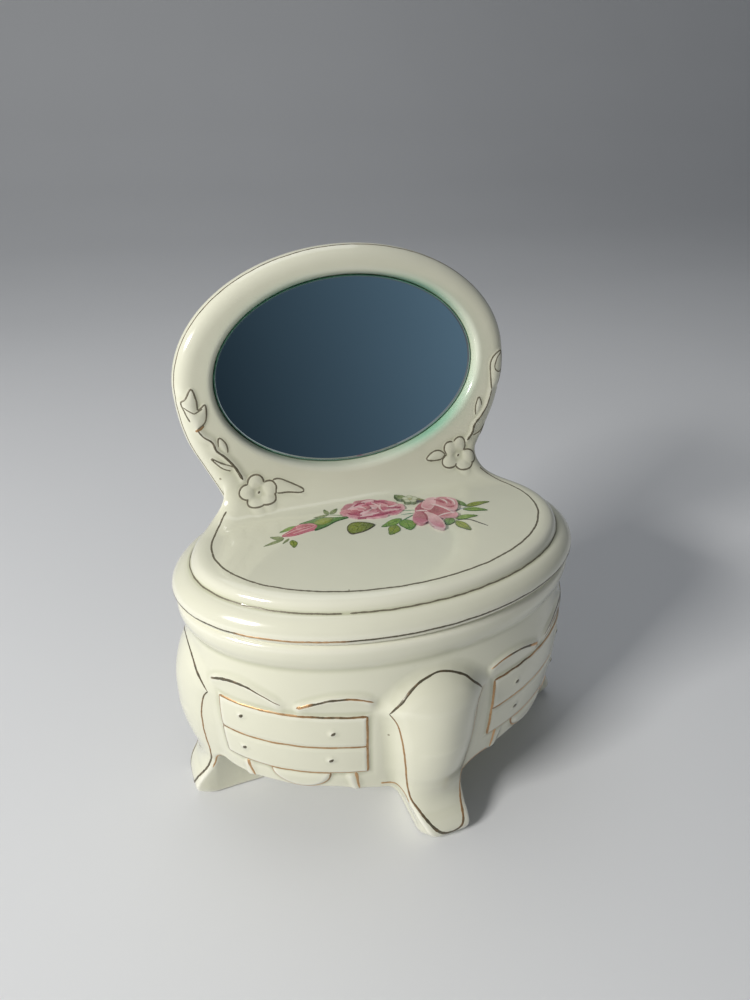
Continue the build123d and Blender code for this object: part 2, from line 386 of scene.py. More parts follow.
def leg_face(u, z, extra):
    """How far out a leg's face stands at u across it and height z."""
    toe = FRONT_TOE_EXTRA * extra / FRONT_LEG_EXTRA * smooth_step(12.0, 2.0, z)
    return leg_reach(z) + extra * smooth_step(55.0, 42.0, z) + toe - leg_crown(z) * u * u


def leg(u, v, z, extra):
    """One leg: u across it to the right, v out past the wall, z up. A pillowed face, and a long web
    under the box."""
    lean = leg_lean(z, extra)
    middle, u = u - 0.4 * lean, u - lean
    face = v - leg_face(u, z, extra)
    narrowed = np.abs(u) + 0.2 * np.clip(-2.0 - v, 0, 8)
    shin = smooth_max(leg_outline(narrowed, z), face, LEG_ROUNDING * (0.3 + 0.7 * smooth_step(8.0, 24.0, z)))
    shin = smooth_max(shin, -9.0 - v, 2.0)
    web = smooth_max(np.abs(middle) - WEB_HALF, face + 1.3, 3.0)
    web = smooth_max(web, -(v + WEB_LENGTH + 0.2 * z - extra), 3.0)
    web = smooth_max(web, z - 30.0, 1.0)
    return smooth_min(shin, web, 2.5)


def base_field(x, y, z):
    """Signed distance to the base casting."""
    q, growth = oval_radius(x, y)
    s = along_wall(x, y)
    relief = relief_chart(s, z) * smooth_step(WALL_HALF - 4, WALL_HALF - 2, q)
    body = (q - wall_radius(z)) / growth - relief
    body = smooth_max(body, apron_edge(s, x * y < 0) - z, 1.6)
    recess = smooth_max((q - CAVITY_HALF) / growth, z - FLOOR_UNDERSIDE, 3.0)
    body = smooth_max(body, -recess, 1.0)
    sides = leg(y * np.sign(x), np.abs(x) - WALL_HALF, z, 0.0)
    ends = leg(-x * np.sign(y), np.abs(y) - WALL_HALF * RATIO, z, FRONT_LEG_EXTRA)
    body = smooth_min(body, np.minimum(sides, ends), 3.2)
    body = smooth_max(body, z - RIM_Z + RIM_GAP, 1.8)
    cavity = smooth_max((q - CAVITY_HALF) / growth, FLOOR_TOP - z, 5.0)
    body = smooth_max(body, -cavity, 1.2)
    return smooth_max(body, -z, 0.9)


# ---------------------------------------------------------------- lid and mirror frame
def lid_outline():
    """Half section of the lid before it is hollowed: underside, flange, two rolls and the crown."""
    lower, upper = (smooth_curve(roll) for roll in LID_PROFILE_ROLLS)
    q = np.linspace(upper[-1, 0], 0, 24)[1:]
    drop = (CROWN_Z - upper[-1, 1]) * (q / upper[-1, 0]) ** 2.4
    crown = np.stack([q, CROWN_Z - drop], -1)
    under = [
        (-8.0, CROWN_Z), (-8.0, FLANGE_Z), (FLANGE_HALF - 0.7, FLANGE_Z), (FLANGE_HALF, FLANGE_Z + 0.7),
        (FLANGE_HALF, RIM_Z), (LID_HALF - 2.2, RIM_Z), (LID_HALF - 1.0, RIM_Z + 0.25),
    ]
    return np.vstack([under, lower, upper[1:], crown])


def frame_outline():
    """The frame's silhouette: half an ellipse above, a drawn-in neck below."""
    turn = np.linspace(math.pi / 2, 0, 60)
    crest = np.stack([FRAME_HALF_WIDTH * np.cos(turn), FRAME_HALF_HEIGHT * np.sin(turn)], -1)
    return closed_half(np.vstack([crest, smooth_curve(FRAME_FLANK)[1:]]))


def ellipse_outline(half_width, half_height, count=120):
    """Points round an upright ellipse."""
    turn = np.linspace(0, 2 * math.pi, count, endpoint=False)
    return np.stack([half_width * np.cos(turn), half_height * np.sin(turn)], -1)


# Flower sprays on the frame, in (across, up). A flower is its centre and its petals' directions, in degrees.
FLOWERS = (
    ((-28.0, -28.3), (100, 171, 250, 308, 12), 4.9),
    ((30.5, -27.2), (134, 82, 345, 292, 205), 5.3),
)
PETAL_HALF_WIDTH = 1.95
LEAVES = (
    ((-25.2, -26.6), (-23.2, -25.6), (-19.6, -27.2), (-16.3, -30.3), (-20.3, -29.4), (-23.6, -29.0)),
    ((26.3, -26.4), (24.6, -25.1), (22.7, -25.2), (20.6, -27.0), (23.2, -27.5), (25.4, -27.3)),
    ((-33.2, -20.6), (-36.5, -19.0), (-39.0, -17.5), (-36.6, -20.3), (-34.4, -21.4)),
    ((-34.7, -16.5), (-34.9, -14.0), (-36.4, -12.4), (-36.9, -14.6)),
    ((35.4, -22.0), (38.0, -21.2), (40.4, -19.6), (38.4, -22.6)),
    ((36.4, -16.0), (36.3, -13.2), (37.2, -11.0), (38.2, -13.4)),
)
STEMS = (
    (
        (-31.6, -24.2), (-34.0, -19.5), (-35.9, -17.2), (-37.4, -15.6), (-38.2, -13.2), (-40.2, -11.4),
        (-41.4, -9.6),
    ),
    ((33.6, -23.2), (35.2, -21.4), (36.0, -19.0), (37.9, -16.6), (39.5, -14.3), (40.7, -11.4), (41.2, -9.2)),
)
BUDS = (
    (
        (-41.4, -9.4), (-39.6, -8.0), (-38.8, -5.6), (-38.9, -3.4), (-40.6, -4.6), (-40.9, -1.8),
        (-41.7, 0.7), (-43.6, -1.6), (-45.0, -2.2), (-44.2, -4.8), (-43.0, -7.4),
    ),
    (
        (41.2, -9.2), (40.8, -5.0), (40.9, -0.8), (42.2, 0.7), (44.2, 1.6), (45.3, -1.6), (45.2, -5.2),
        (43.6, -8.0),
    ),
)


def petal_points(centre, direction, reach, turn):
    """A petal's edge: a rounded lobe, from crease to crease as turn runs from -1 to 1."""
    angle = math.radians(direction)
    radial = np.array([math.cos(angle), math.sin(angle)])
    across = np.array([-math.sin(angle), math.cos(angle)])
    half_length = 0.44 * reach
    swing = np.radians(128.0) * np.array(turn)[:, None]
    length = reach - half_length + half_length * np.cos(swing)
    return np.array(centre) + radial * length + across * PETAL_HALF_WIDTH * np.sin(swing)


def frame_relief(a, b):
    """Height of the modelled flowers, leaves, stems and buds above the frame's face."""
    height = np.zeros(a.shape)
    for centre, directions, reach in FLOWERS:
        for direction in directions:
            edge = signed_distance(petal_points(centre, direction, reach, np.linspace(-1, 1, 24)), a, b)
            height = np.maximum(height, 0.42 * np.sqrt(smooth_step(0.5, -1.7, edge)))
        away = np.hypot(a - centre[0], b - centre[1])
        height = np.where(away < 1.9, height * (0.55 + 0.45 * smooth_step(0.4, 1.9, away)), height)
        height += 0.12 * hill(away, 0.6)
    for leaf in LEAVES:
        edge = signed_distance(smooth_curve(leaf, closed=True), a, b)
        height = np.maximum(height, 0.26 * smooth_step(0.6, -0.9, edge))
    for bud in BUDS:
        edge = signed_distance(smooth_curve(bud, closed=True), a, b)
        height = np.maximum(height, 0.42 * np.sqrt(smooth_step(0.6, -1.8, edge)))
    for stem in STEMS:
        line = smooth_curve(stem)
        edge = np.sqrt(np.min([(a - p) ** 2 + (b - r) ** 2 for p, r in line], axis=0))
        height = np.maximum(height, 0.32 * hill(edge, 0.9))
    return height


lid_chart = outline_chart(lid_outline(), margin=12.0, step=0.15, soften=14)
frame_chart = outline_chart(frame_outline())
recess_chart = outline_chart(ellipse_outline(PANE_HALF_WIDTH + RECESS_GAP, PANE_HALF_HEIGHT + RECESS_GAP))
frame_relief_chart = Chart((-50.0, -38.0), (50.0, 6.0), 0.1, frame_relief)


def mirror_coordinates(x, y, z):
    """A point as (across, up, out) from the middle of the glass's face."""
    dy, dz = y - PANE_CENTRE[1], z - PANE_CENTRE[2]
    return x - PANE_CENTRE[0], dy * UP[1] + dz * UP[2], dy * OUT[1] + dz * OUT[2]


def mirror_point(across, up, out):
    """The reverse of mirror_coordinates."""
    across, up, out = np.broadcast_arrays(across, up, out)
    level = PANE_CENTRE + np.stack([across, 0 * across, 0 * across], -1)
    return level + up[..., None] * UP + out[..., None] * OUT


def frame_body(across, up, out):
    """The frame before its recess: a slab with rolled edges, and its relief."""
    middle, half = (FRAME_FRONT + FRAME_BACK) / 2, (FRAME_FRONT - FRAME_BACK) / 2
    relief = frame_relief_chart(across, up) * smooth_step(-1.5, 0.5, out)
    band = frame_chart(across, up) - 0.6 * relief
    return smooth_max(band, np.abs(out - middle) - half - relief, FRAME_ROUNDING)


def lid_field(x, y, z):
    """Signed distance to the lid casting with its mirror frame."""
    q, growth = oval_radius(x, y)
    shell = lid_chart(q, z) / growth
    across, up, out = mirror_coordinates(x, y, z)
    fillet = 2.0 + 8.0 * smooth_step(-1.0, 2.4, out)
    body = smooth_min(shell, frame_body(across, up, out), fillet)
    recess = recess_chart(across, up) - 0.22 * np.clip(out, 0, 3)
    recess = smooth_max(recess, np.abs(out - 2.0) - RECESS_DEPTH - 2.0, 0.8)
    body = smooth_max(body, -recess, 1.5)
    hollow = smooth_max((q - FLANGE_HALF + FLANGE_WALL) / growth, z - CEILING_Z, 3.0)
    return smooth_max(body, -hollow, 0.9)


# ---------------------------------------------------------------- from field to mesh
def gradient(field, points, reach=0.25):
    """Central differences of a field at points."""
    slopes = []
    for axis in range(3):
        step = np.zeros(3)
        step[axis] = reach
        slopes.append((field(*(points + step).T) - field(*(points - step).T)) / (2 * reach))
    return np.stack(slopes, -1).astype(float)


def unit(vectors):
    """Vectors of the same directions and length 1."""
    return vectors / np.maximum(np.linalg.norm(vectors, axis=-1, keepdims=True), 1e-9)


def settle(field, points, rounds=4, limit=2.0):
    """Points moved straight onto a field's surface."""
    for _ in range(rounds):
        slope = gradient(field, points)
        move = field(*points.T)[:, None] * slope / np.maximum((slope**2).sum(1), 0.2)[:, None]
        length = np.linalg.norm(move, axis=1, keepdims=True)
        points = points - move * np.minimum(1, limit / np.maximum(length, 1e-9))
    return points


def curl_in(field, points, normals, reach=1.1):
    """How hollow the surface is at points: above 0 in a crease, below 0 on an edge."""
    tangent = unit(np.cross(normals, (0.31, 0.17, 0.93)))
    other = np.cross(normals, tangent)
    total = 0
    for side in (tangent, -tangent, other, -other):
        total = total + field(*(points + reach * side).T)
    return -total / (4 * reach)


def add_object(name, points, faces, smooth=True):
    """A mesh object from millimetre points."""
    mesh = bpy.data.meshes.new(name)
    mesh.from_pydata((np.asarray(points) * MM).tolist(), [], [list(map(int, face)) for face in faces])
    mesh.polygons.foreach_set("use_smooth", [smooth] * len(mesh.polygons))
    mesh.update()
    obj = bpy.data.objects.new(name, mesh)
    bpy.context.scene.collection.objects.link(obj)
    return obj


def grid_faces(index, closed_rows=False, closed_columns=False):
    """Quads between neighbours in a grid of point numbers."""
    if closed_rows:
        index = np.vstack([index, index[:1]])
    if closed_columns:
        index = np.hstack([index, index[:, :1]])
    corners = index[:-1, :-1], index[:-1, 1:], index[1:, 1:], index[1:, :-1]
    return np.stack(corners, -1).reshape(-1, 4).tolist()


def mesh_points(mesh):
    """A mesh's vertices, in millimetres."""
    flat = np.empty(len(mesh.vertices) * 3, np.float32)
    mesh.vertices.foreach_get("co", flat)
    return flat.reshape(-1, 3).astype(float) / MM


def dress(obj, material, body, node=None):
    """A piece's material, the body it rides on, and the CAD node it stands in for."""
    obj.data.materials.append(material)
    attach(obj, body)
    if node:
        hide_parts(node)


def add_number(mesh, name, values):
    """One number for each point, which a material reads by name."""
    layer = mesh.attributes.new(name, "FLOAT", "POINT")
    layer.data.foreach_set("value", np.asarray(values, np.float32))


def add_colour(mesh, name, values):
    """One colour for each point, which a material reads by name."""
    layer = mesh.attributes.new(name, "FLOAT_COLOR", "POINT")
    layer.data.foreach_set("color", np.asarray(values, np.float32).ravel())


def field_mesh(name, field, low, high, step, most_faces):
    """A casting: the field's zero surface, thinned, laid back on the field, with the field's own normals."""
    axes = [np.arange(l, h + step, step, dtype=np.float32) for l, h in zip(low, high)]
    values = np.empty([len(axis) for axis in axes], np.float32)
    slab = 24
    for i in range(0, len(axes[0]), slab):
        x = axes[0][i : i + slab, None, None]
        values[i : i + slab] = field(x, axes[1][None, :, None], axes[2][None, None, :])
    grid = openvdb.FloatGrid(background=5.0)
    grid.copyFromArray(values)
    points, quads = grid.convertToQuads(isovalue=0.0)
    points = points * step + np.array(low)
    raw = add_object(name + "_raw", points, quads)
    if 2 * len(quads) > most_faces:
        thin = raw.modifiers.new("thin", "DECIMATE")
        thin.ratio = most_faces / (2 * len(quads))
    depsgraph = bpy.context.evaluated_depsgraph_get()
    mesh = bpy.data.meshes.new_from_object(raw.evaluated_get(depsgraph), depsgraph=depsgraph)
    bpy.data.objects.remove(raw)
    mesh.name = name
    points = settle(field, mesh_points(mesh), rounds=2, limit=0.2)
    mesh.vertices.foreach_set("co", (points * MM).astype(np.float32).ravel())
    mesh.update()
    normals = unit(gradient(field, points, 0.3))
    face_normal, corner = np.array(mesh.polygons[0].normal), mesh.polygons[0].vertices[0]
    if face_normal @ normals[corner] < 0:
        mesh.flip_normals()
    mesh.polygons.foreach_set("use_smooth", [True] * len(mesh.polygons))
    mesh.normals_split_custom_set_from_vertices(normals.tolist())
    add_number(mesh, "hollow", curl_in(field, points, normals))
    obj = bpy.data.objects.new(name, mesh)
    bpy.context.scene.collection.objects.link(obj)
    return obj


# ---------------------------------------------------------------- gilding
RIBBON_SECTION = ((-1.0, -0.03), (-0.6, 0.035), (0.0, 0.055), (0.6, 0.035), (1.0, -0.03))
RIBBON_DEPTH = 0.12


def stops(values, t, path):
    """A number along a path, from one number, a function of place, or (share of the path, number) stops."""
    if callable(values):
        return values(path)
    if np.isscalar(values):
        return np.full(len(t), float(values))
    at, value = np.array(values, float).T
    return np.interp(t, at, value)


def resample(path, spacing):
    """A path's points at even distances of about spacing."""
    length = np.concatenate([[0], np.cumsum(np.linalg.norm(np.diff(path, axis=0), axis=1))])
    count = max(3, int(length[-1] / spacing) + 1)
    at = np.linspace(0, length[-1], count)
    return np.stack([np.interp(at, length, path[:, axis]) for axis in range(path.shape[1])], -1)


def wander(count, spacing, scale):
    """Smooth random numbers about 0 along a path, with waves of about scale."""
    at = np.arange(count) * spacing
    phase, rate = rng.uniform(0, 6.28, 5), rng.uniform(0.5, 2.2, 5) * 6.28 / scale
    return np.sin(at[:, None] * rate + phase).mean(1)


class Skin:
    """Thin closed shapes laid on a field and collected into one mesh. Each of its points has a shade."""

    def __init__(self, field):
        self.field = field
        self.points, self.faces, self.shades = [], [], []
        self.count = 0

    def add(self, rows, shades):
        """Take a grid of points and their shades. Gives the grid of their numbers in the mesh."""
        index = self.count + np.arange(rows.shape[0] * rows.shape[1]).reshape(rows.shape[:2])
        self.points.append(rows.reshape(-1, 3))
        self.shades.append(shades)
        self.count += index.size
        return index

    def build(self, name):
        """The collected mesh as an object."""
        obj = add_object(name, np.vstack(self.points), self.faces)
        recalculate_outside(obj.data)
        return obj


class Gilding(Skin):
    """Brushed gold lines, each a thin closed ribbon. A point's shade is its tone."""

    def line(self, path, half_width, tone, taper=(0.5, 0.5), spacing=0.35, sway=0.12, closed=False):
        """One brush stroke along path. tone is 0 for worn brown gold and 1 for bright copper gold."""
        path = resample(np.array(path, float), spacing)
        if closed:
            path = path[:-1]
        count = len(path)
        t = np.linspace(0, 1, count)
        path = settle(self.field, path)
        ahead = np.roll(path, -1, axis=0) - np.roll(path, 1, axis=0) if closed else np.gradient(path, axis=0)
        tangent = unit(ahead)
        normal = unit(gradient(self.field, path))
        side = unit(np.cross(normal, tangent))
        path = settle(self.field, path + side * (sway * wander(count, spacing, 9.0))[:, None], 2)
        uneven = 1 + 0.22 * wander(count, spacing, 3.5) + 0.12 * wander(count, spacing, 1.2)
        width = stops(half_width, t, path) * uneven
        if not closed:
            along = t * count * spacing + 0.05
            start, end = along / taper[0], along[::-1] / taper[1]
            width = width * np.sqrt(np.clip(np.minimum(1, start) * np.minimum(1, end), 0.01, 1))
        shade = np.clip(stops(tone, t, path) + 0.07 * wander(count, spacing, 5.0), -1, 1)
        rows = []
        for across, height in RIBBON_SECTION:
            place = settle(self.field, path + side * (across * width)[:, None], 2)
            rows.append(place + unit(gradient(self.field, place)) * height)
        rows.append(path - normal * RIBBON_DEPTH)
        rings = np.stack(rows, 1)
        index = self.add(rings, np.repeat(shade, rings.shape[1]))
        self.faces += grid_faces(index, closed, True)
        if not closed:
            self.faces += [index[0][::-1], index[-1]]

    def dot(self, place, radius, tone):
        """A dab of the brush."""
        place = settle(self.field, np.array([place], float))
        normal = unit(gradient(self.field, place))[0]
        side = unit(np.cross(normal, (0.3, 0.2, 0.9)))
        path = place + np.outer(np.linspace(-radius, radius, 7), np.cross(normal, side) * 0.8 + side * 0.5)
        self.line(path, radius * 0.8, tone, taper=(radius, radius), spacing=radius / 4, sway=0)

    def finish(self, name, body, material):
        """The lines as one piece on a body."""
        obj = self.build(name)
        add_number(obj.data, "tone", np.concatenate(self.shades))
        dress(obj, material, body)


def recalculate_outside(mesh):
    """Face normals turned outward on each closed piece of a mesh."""
    work = bmesh.new()
    work.from_mesh(mesh)
    bmesh.ops.recalc_face_normals(work, faces=work.faces)
    work.to_mesh(mesh)
    work.free()


def kept_runs(points, keep):
    """The runs of a closed loop of points where keep holds, each as its own open path."""
    if keep.all():
        return [np.vstack([points, points[:1]])]
    first = int(np.argmin(keep))
    points, keep = np.roll(points, -first, axis=0), np.roll(keep, -first)
    runs, run = [], []
    for point, use in zip(points, keep):
        if use:
            run.append(point)
        elif run:
            runs.append(np.array(run))
            run = []
    if run:
        runs.append(np.array(run))
    return [r for r in runs if len(r) > 6]


def gild_rings(gold):
    """The three rings round the lid, broken where the mirror frame stands on it. The middle one has a gap."""
    turn = np.linspace(0, 2 * math.pi, 720, endpoint=False)
    whole = np.full(len(turn), True)
    gapped = np.abs(turn - RING_2_GAP) > 0.012
    rings = (
        (RING_1, whole, 0.34, front_left_copper),
        (RING_2, gapped, 0.26, -0.45),
        (RING_3, whole, 0.3, -0.25),
    )
    for (q, z), drawn, half_width, tone in rings:
        loop = np.stack([q * np.sin(turn), -q * RATIO * np.cos(turn), 0 * turn + z], -1)
        drawn = drawn & (frame_body(*mirror_coordinates(*loop.T)) > 1.4)
        for run in kept_runs(loop, drawn):
            gold.line(run, half_width, tone, closed=drawn.all())


def front_left_copper(path):
    """The lowest ring is bright copper on its front-left stretch and worn brown elsewhere."""
    angle = np.degrees(np.arctan2(path[:, 0], -path[:, 1] / RATIO))
    return -0.1 + 0.85 * smooth_step(-57, -50, angle) * smooth_step(-20, -28, angle)


def gild_frame(gold):
    """The line round the frame's edge, and the flower sprays."""
    middle = (FRAME_FRONT + FRAME_BACK) / 2
    outline = frame_outline()
    outline = outline[outline[:, 1] > FRAME_LINE_END]
    upper = outline[np.argsort(np.arctan2(outline[:, 0], outline[:, 1] + 8))]
    gold.line(mirror_point(upper[:, 0], upper[:, 1], middle + 1.6), 0.2, 0.08)

    def draw(points, half_width, tone=-0.5, **more):
        points = np.array(points)
        gold.line(mirror_point(points[:, 0], points[:, 1], FRAME_FRONT), half_width, tone, **more)

    def draw_outside(points, others, half_width, **more):
        """Only the longest run of points that no other outline covers."""
        clear = np.all([signed_distance(other, *points.T) > 0.12 for other in others], axis=0)
        turns = np.flatnonzero(np.diff(clear)) + 1
        runs = [run for run, kept in zip(np.split(points, turns), clear[np.append(0, turns)]) if kept]
        draw(max(runs, key=len), half_width, **more)

    flowers = []
    for centre, directions, reach in FLOWERS:
        petals = [petal_points(centre, direction, reach, np.linspace(-1, 1, 61)) for direction in directions]
        flowers.append(petals)
        for k, petal in enumerate(petals):
            draw_outside(petal, petals[:k] + petals[k + 1 :], 0.3, taper=(0.4, 0.4), sway=0.1)
        gold.dot(mirror_point(*centre, FRAME_FRONT + 0.6), 0.42, -0.3)
    for leaf, petals in zip(LEAVES, flowers):
        draw_outside(smooth_curve(leaf + leaf[:1]), petals, 0.27, sway=0.08)
    for leaf in LEAVES[2:]:
        draw(smooth_curve(leaf), 0.25, sway=0.08)
    for stem in STEMS:
        draw(smooth_curve(stem), [(0, 0.46), (0.5, 0.34), (1, 0.2)], tone=-0.25)
    for bud in BUDS:
        draw(smooth_curve(bud), 0.27, sway=0.08)
    # The folds of the two buds, and a copper dab at the left one's foot.
    draw(((-44.3, -3.6), (-41.7, -5.4), (-39.6, -4.4)), 0.2)
    draw(((-41.9, -9.9), (-40.6, -9.4), (-39.8, -8.6)), 0.42, tone=0.6)
    draw(smooth_curve(((44.4, 1.2), (42.4, -0.8), (42.0, -3.4), (43.4, -4.4), (45.0, -3.8))), 0.22)


# The line on a leg's face, in (half-width, height): its arch from the corner to the top, and its edge from
# the toe to the corner.
LEG_LINE_ARCH = ((12.4, 41.8), (11.3, 43.5), (9.0, 46.1), (6.3, 48.3), (3.0, 49.8), (0.0, 50.4))
LEG_LINE_EDGE = (
    (0.0, 2.4), (1.8, 2.7), (3.2, 3.7), (4.1, 5.1), (4.8, 6.8), (5.5, 8.9), (6.4, 11.5), (7.2, 14.4),
    (7.9, 18.2), (8.6, 23.0), (9.2, 28.0), (9.9, 33.4), (10.5, 37.2), (11.3, 39.8), (12.4, 41.8),
)


def gild_leg(gold, place, worn):
    """The line that follows a leg's face: arch, corners, both edges, and round the toe, dark up to worn."""
    arch, edge = np.array(LEG_LINE_ARCH), np.array(LEG_LINE_EDGE)
    arch = np.vstack([arch, arch[-2::-1] * (-1, 1)])
    edge = np.vstack([edge[:0:-1] * (-1, 1), edge])
    widths = [(0, 0.24), (0.15, 0.44), (0.5, 0.3), (0.85, 0.44), (1, 0.24)]
    gold.line(place(smooth_curve(arch)), widths, 0.04, taper=(1.5, 1.5))
    widths = [(0, 0.26), (0.12, 0.34), (0.3, 0.32), (0.44, 0.44), (0.5, 0.6), (0.56, 0.44), (0.7, 0.32)]
    widths.append((1, 0.24))
    left = [(0, 0.1), (0.05, 0.65), (0.22, 0.65), (0.34, 0.3), (0.42, 0.02)]
    right = [(worn, 0.05), (worn + 0.07, 0.6), (0.88, 0.45), (1, 0.05)]
    gold.line(place(smooth_curve(edge)), widths, left + right, taper=(0.6, 0.6))


def gild_legs(gold):
    """All four legs. A leg's face is given as (across, height) and placed on each side of the box."""
    side_leg = (0.0, WALL_HALF, (1, 0, 2), 0.68, (-1, 1))
    end_leg = (FRONT_LEG_EXTRA, WALL_HALF * RATIO, (0, 1, 2), 0.53, (-1,))
    fillet = np.array([(7.7, 12.6), (8.7, 15.2), (10.4, 17.1), (13.0, 18.0)])
    for sign in (-1, 1):
        for turn, (extra, wall, order, worn, fillet_sides) in ((sign, side_leg), (-sign, end_leg)):

            def place(points):
                across, height = points.T
                out = sign * (wall + leg_face(across, height, extra))
                return np.stack([turn * (across + leg_lean(height, extra)), out, height], -1)[:, order]

            gild_leg(gold, place, worn)
            for side in fillet_sides:
                points = place(smooth_curve(fillet * (side, 1))) - (0, 0, 1.4)
                gold.line(points, [(0, 0.2), (1, 0.42)], 0.8)
        s = np.linspace(FRONT_LEG_S - 9.0, FRONT_LEG_S - 18.5, 30)
        along_apron = wall_point(s, apron_edge(s, True) + 1.0, (-sign, sign))
        gold.line(along_apron, [(0, 0.24), (0.8, 0.36), (1, 0.5)], 0.8)


def gild_drawers(gold):
    """The four pairs of drawers, a little brighter on the right half of the box."""
    for quarter in ((-1, -1), (1, -1), (1, 1), (-1, 1)):
        gild_quarter(gold, quarter, 0.68 if quarter[0] < 0 else 0.82)


def gild_quarter(gold, quarter, bright):
    """Borders, split, brows, knobs, scallop and tabs of one pair of drawers."""

    def draw(s, z, half_width, tone, slope=1):
        gold.line(wall_point(s, z + slope * drawer_slope(s), quarter), half_width, tone)

    def draw_brow(brow, half_width, tone):
        draw(*smooth_curve(brow).T, half_width, tone, slope=0)

    across = np.linspace(-DRAWER_HALF, DRAWER_HALF, 40)
    up = np.linspace(DRAWER_BOTTOM, DRAWER_TOP, 20)
    tones = [(0, 0.45), (0.3, bright), (0.55, bright), (0.7, 0.15), (0.85, 0.2), (1, 0.5)]
    draw(across, DRAWER_TOP, 0.32, tones)
    draw(across, DRAWER_SPLIT, 0.34, [(0, 0.35), (0.2, bright), (0.8, bright), (1, 0.4)])
    draw(across, DRAWER_BOTTOM, 0.32, [(0, 0.15), (0.2, 0.4), (0.4, bright), (1, bright)])
    draw(0 * up - DRAWER_HALF, up, 0.27, [(0, 0.2), (0.5, 0.3), (1, 0.5)])
    draw(0 * up + DRAWER_HALF, up, 0.4, [(0, 0.6), (0.5, bright), (1, 0.6)])
    widths = [(0, 0.3), (0.2, 0.5), (0.45, 0.42), (0.7, 0.18), (1, 0.1)]
    draw_brow(BROWS[0], widths, [(0, 0.0), (0.5, 0.05), (1, 0.2)])
    widths = [(0, 0.5), (0.12, 0.5), (0.3, 0.34), (0.7, 0.34), (1, 0.2)]
    tones = [(0, 0.95), (0.15, 0.9), (0.22, 0.05), (0.6, 0.05), (0.7, 0.6), (1, 0.7)]
    draw_brow(BROWS[1], widths, tones)
    for s, z in KNOB_PLACES:
        gold.dot(wall_point(np.array(s), np.array(z + drawer_slope(s)), quarter), 0.72, -0.1)
    middle, half, drop = SCALLOP
    swing = np.linspace(math.pi, 2 * math.pi, 30)
    tones = [(0, bright + 0.1), (0.7, bright), (1, 0.4)]
    draw(middle + half * np.cos(swing), DRAWER_BOTTOM - 0.3 + drop * np.sin(swing), 0.34, tones)
    down = np.linspace(0.4, 6.4, 10)
    for tab_s in TAB_LINES:
        draw(tab_s + 0.12 * down, DRAWER_BOTTOM - down, [(0, 0.55), (1, 0.25)], bright + 0.15)


# ---------------------------------------------------------------- rose transfer
def to_linear(code):
    """A colour as linear numbers, from a six-digit sRGB code."""
    channel = np.array([int(code[i : i + 2], 16) for i in (0, 2, 4)]) / 255
    return np.where(channel <= 0.04045, channel / 12.92, ((channel + 0.055) / 1.055) ** 2.4)


class Transfer(Skin):
    """Painted shapes on the lid, each a thin closed lens, a little above the one before.

    A point's shade is its colour."""

    LIFT = 0.006
    DEPTH = -0.05
    RINGS = (1.0, 0.93, 0.8, 0.6, 0.38, 0.16)
    layer = 1

    def surface(self, flat, lift):
        """Points of the plan laid on the lid, lifted along its normal."""
        points = np.column_stack([flat, np.full(len(flat), CROWN_Z)])
        for _ in range(5):
            slope = gradient(self.field, points)
            points[:, 2] -= self.field(*points.T) / np.maximum(slope[:, 2], 0.3)
        return points + unit(gradient(self.field, points)) * np.reshape(lift, (-1, 1))

    def shape(self, outline, colours, focus=None, blend=1.0, strokes=()):
        """A petal or leaf, with strokes on it. Its colours are at focus, away from it, and on its border."""
        outline = smooth_curve(outline, per_span=6, closed=True)
        centre = outline.mean(0)
        focus = centre if focus is None else np.array(focus, float)
        far = np.linalg.norm(outline - focus, axis=1).max()
        heart, edge, rim = (to_linear(code) for code in colours)
        flats, lifts, shades = [], [], []
        for ring in self.RINGS:
            flat = centre + (outline - centre) * ring
            away = np.clip(np.linalg.norm(flat - focus, axis=1) / far, 0, 1)
            shade = heart + (edge - heart) * smooth_step(0, 1, away**blend)[:, None]
            border = 1.0 if ring > 0.95 else 0.55 if ring > 0.9 else 0.0
            flats.append(flat)
            lifts.append(np.full(len(flat), self.layer * self.LIFT + (0 if ring == 1 else 0.004)))
            shades.append(shade + (rim - shade) * border)
        shades.append(np.repeat(rim[None], len(outline), 0))
        top = self.surface(np.vstack(flats), np.concatenate(lifts))
        bottom = self.surface(outline, self.DEPTH)
        index = self.add(np.vstack([top, bottom]).reshape(-1, len(outline), 3), np.vstack(shades))
        self.faces += grid_faces(index[:-1], closed_columns=True)
        self.faces += grid_faces(index[[-1, 0]], closed_columns=True)
        self.faces += [index[-2], index[-1][::-1]]
        self.layer += 1
        for stroke in strokes:
            self.stroke(*stroke)
        self.layer += 1

    def stroke(self, path, width, colour):
        """A thin painted line that narrows to its ends."""
        path = smooth_curve(path, per_span=5)
        count = len(path)
        side = unit(np.gradient(path, axis=0))[:, ::-1] * (-1, 1)
        swell = np.sin(math.pi * np.clip(np.linspace(0, 1, count), 0.02, 0.98)) ** 0.7
        half = 0.5 * width * (0.3 + 0.7 * swell)[:, None]
        outline = np.vstack([path + side * half, (path - side * half)[::-1]])
        rows = np.stack([self.surface(outline, self.layer * self.LIFT), self.surface(outline, self.DEPTH)])
        index = self.add(rows, np.repeat(to_linear(colour)[None], 4 * count, 0))
        self.faces += grid_faces(np.stack([index[0, :count], index[0, :-count - 1 : -1]]))
        self.faces += grid_faces(np.stack([index[1, :-count - 1 : -1], index[1, :count]]))
        self.faces += grid_faces(index[::-1], closed_columns=True)

    def folds(self, paths, width, colour):
        """Strokes that each lie above the one before."""
        for path in paths:
            self.stroke(path, width, colour)
            self.layer += 1

    def finish(self, name, body, material):
        """The shapes as one piece on a body."""
        obj = self.build(name)
        normals = unit(gradient(self.field, np.vstack(self.points)))
        obj.data.normals_split_custom_set_from_vertices(normals.tolist())
        colours = np.vstack(self.shades)
        add_colour(obj.data, "paint", np.column_stack([colours, np.ones(len(colours))]))
        dress(obj, material, body)


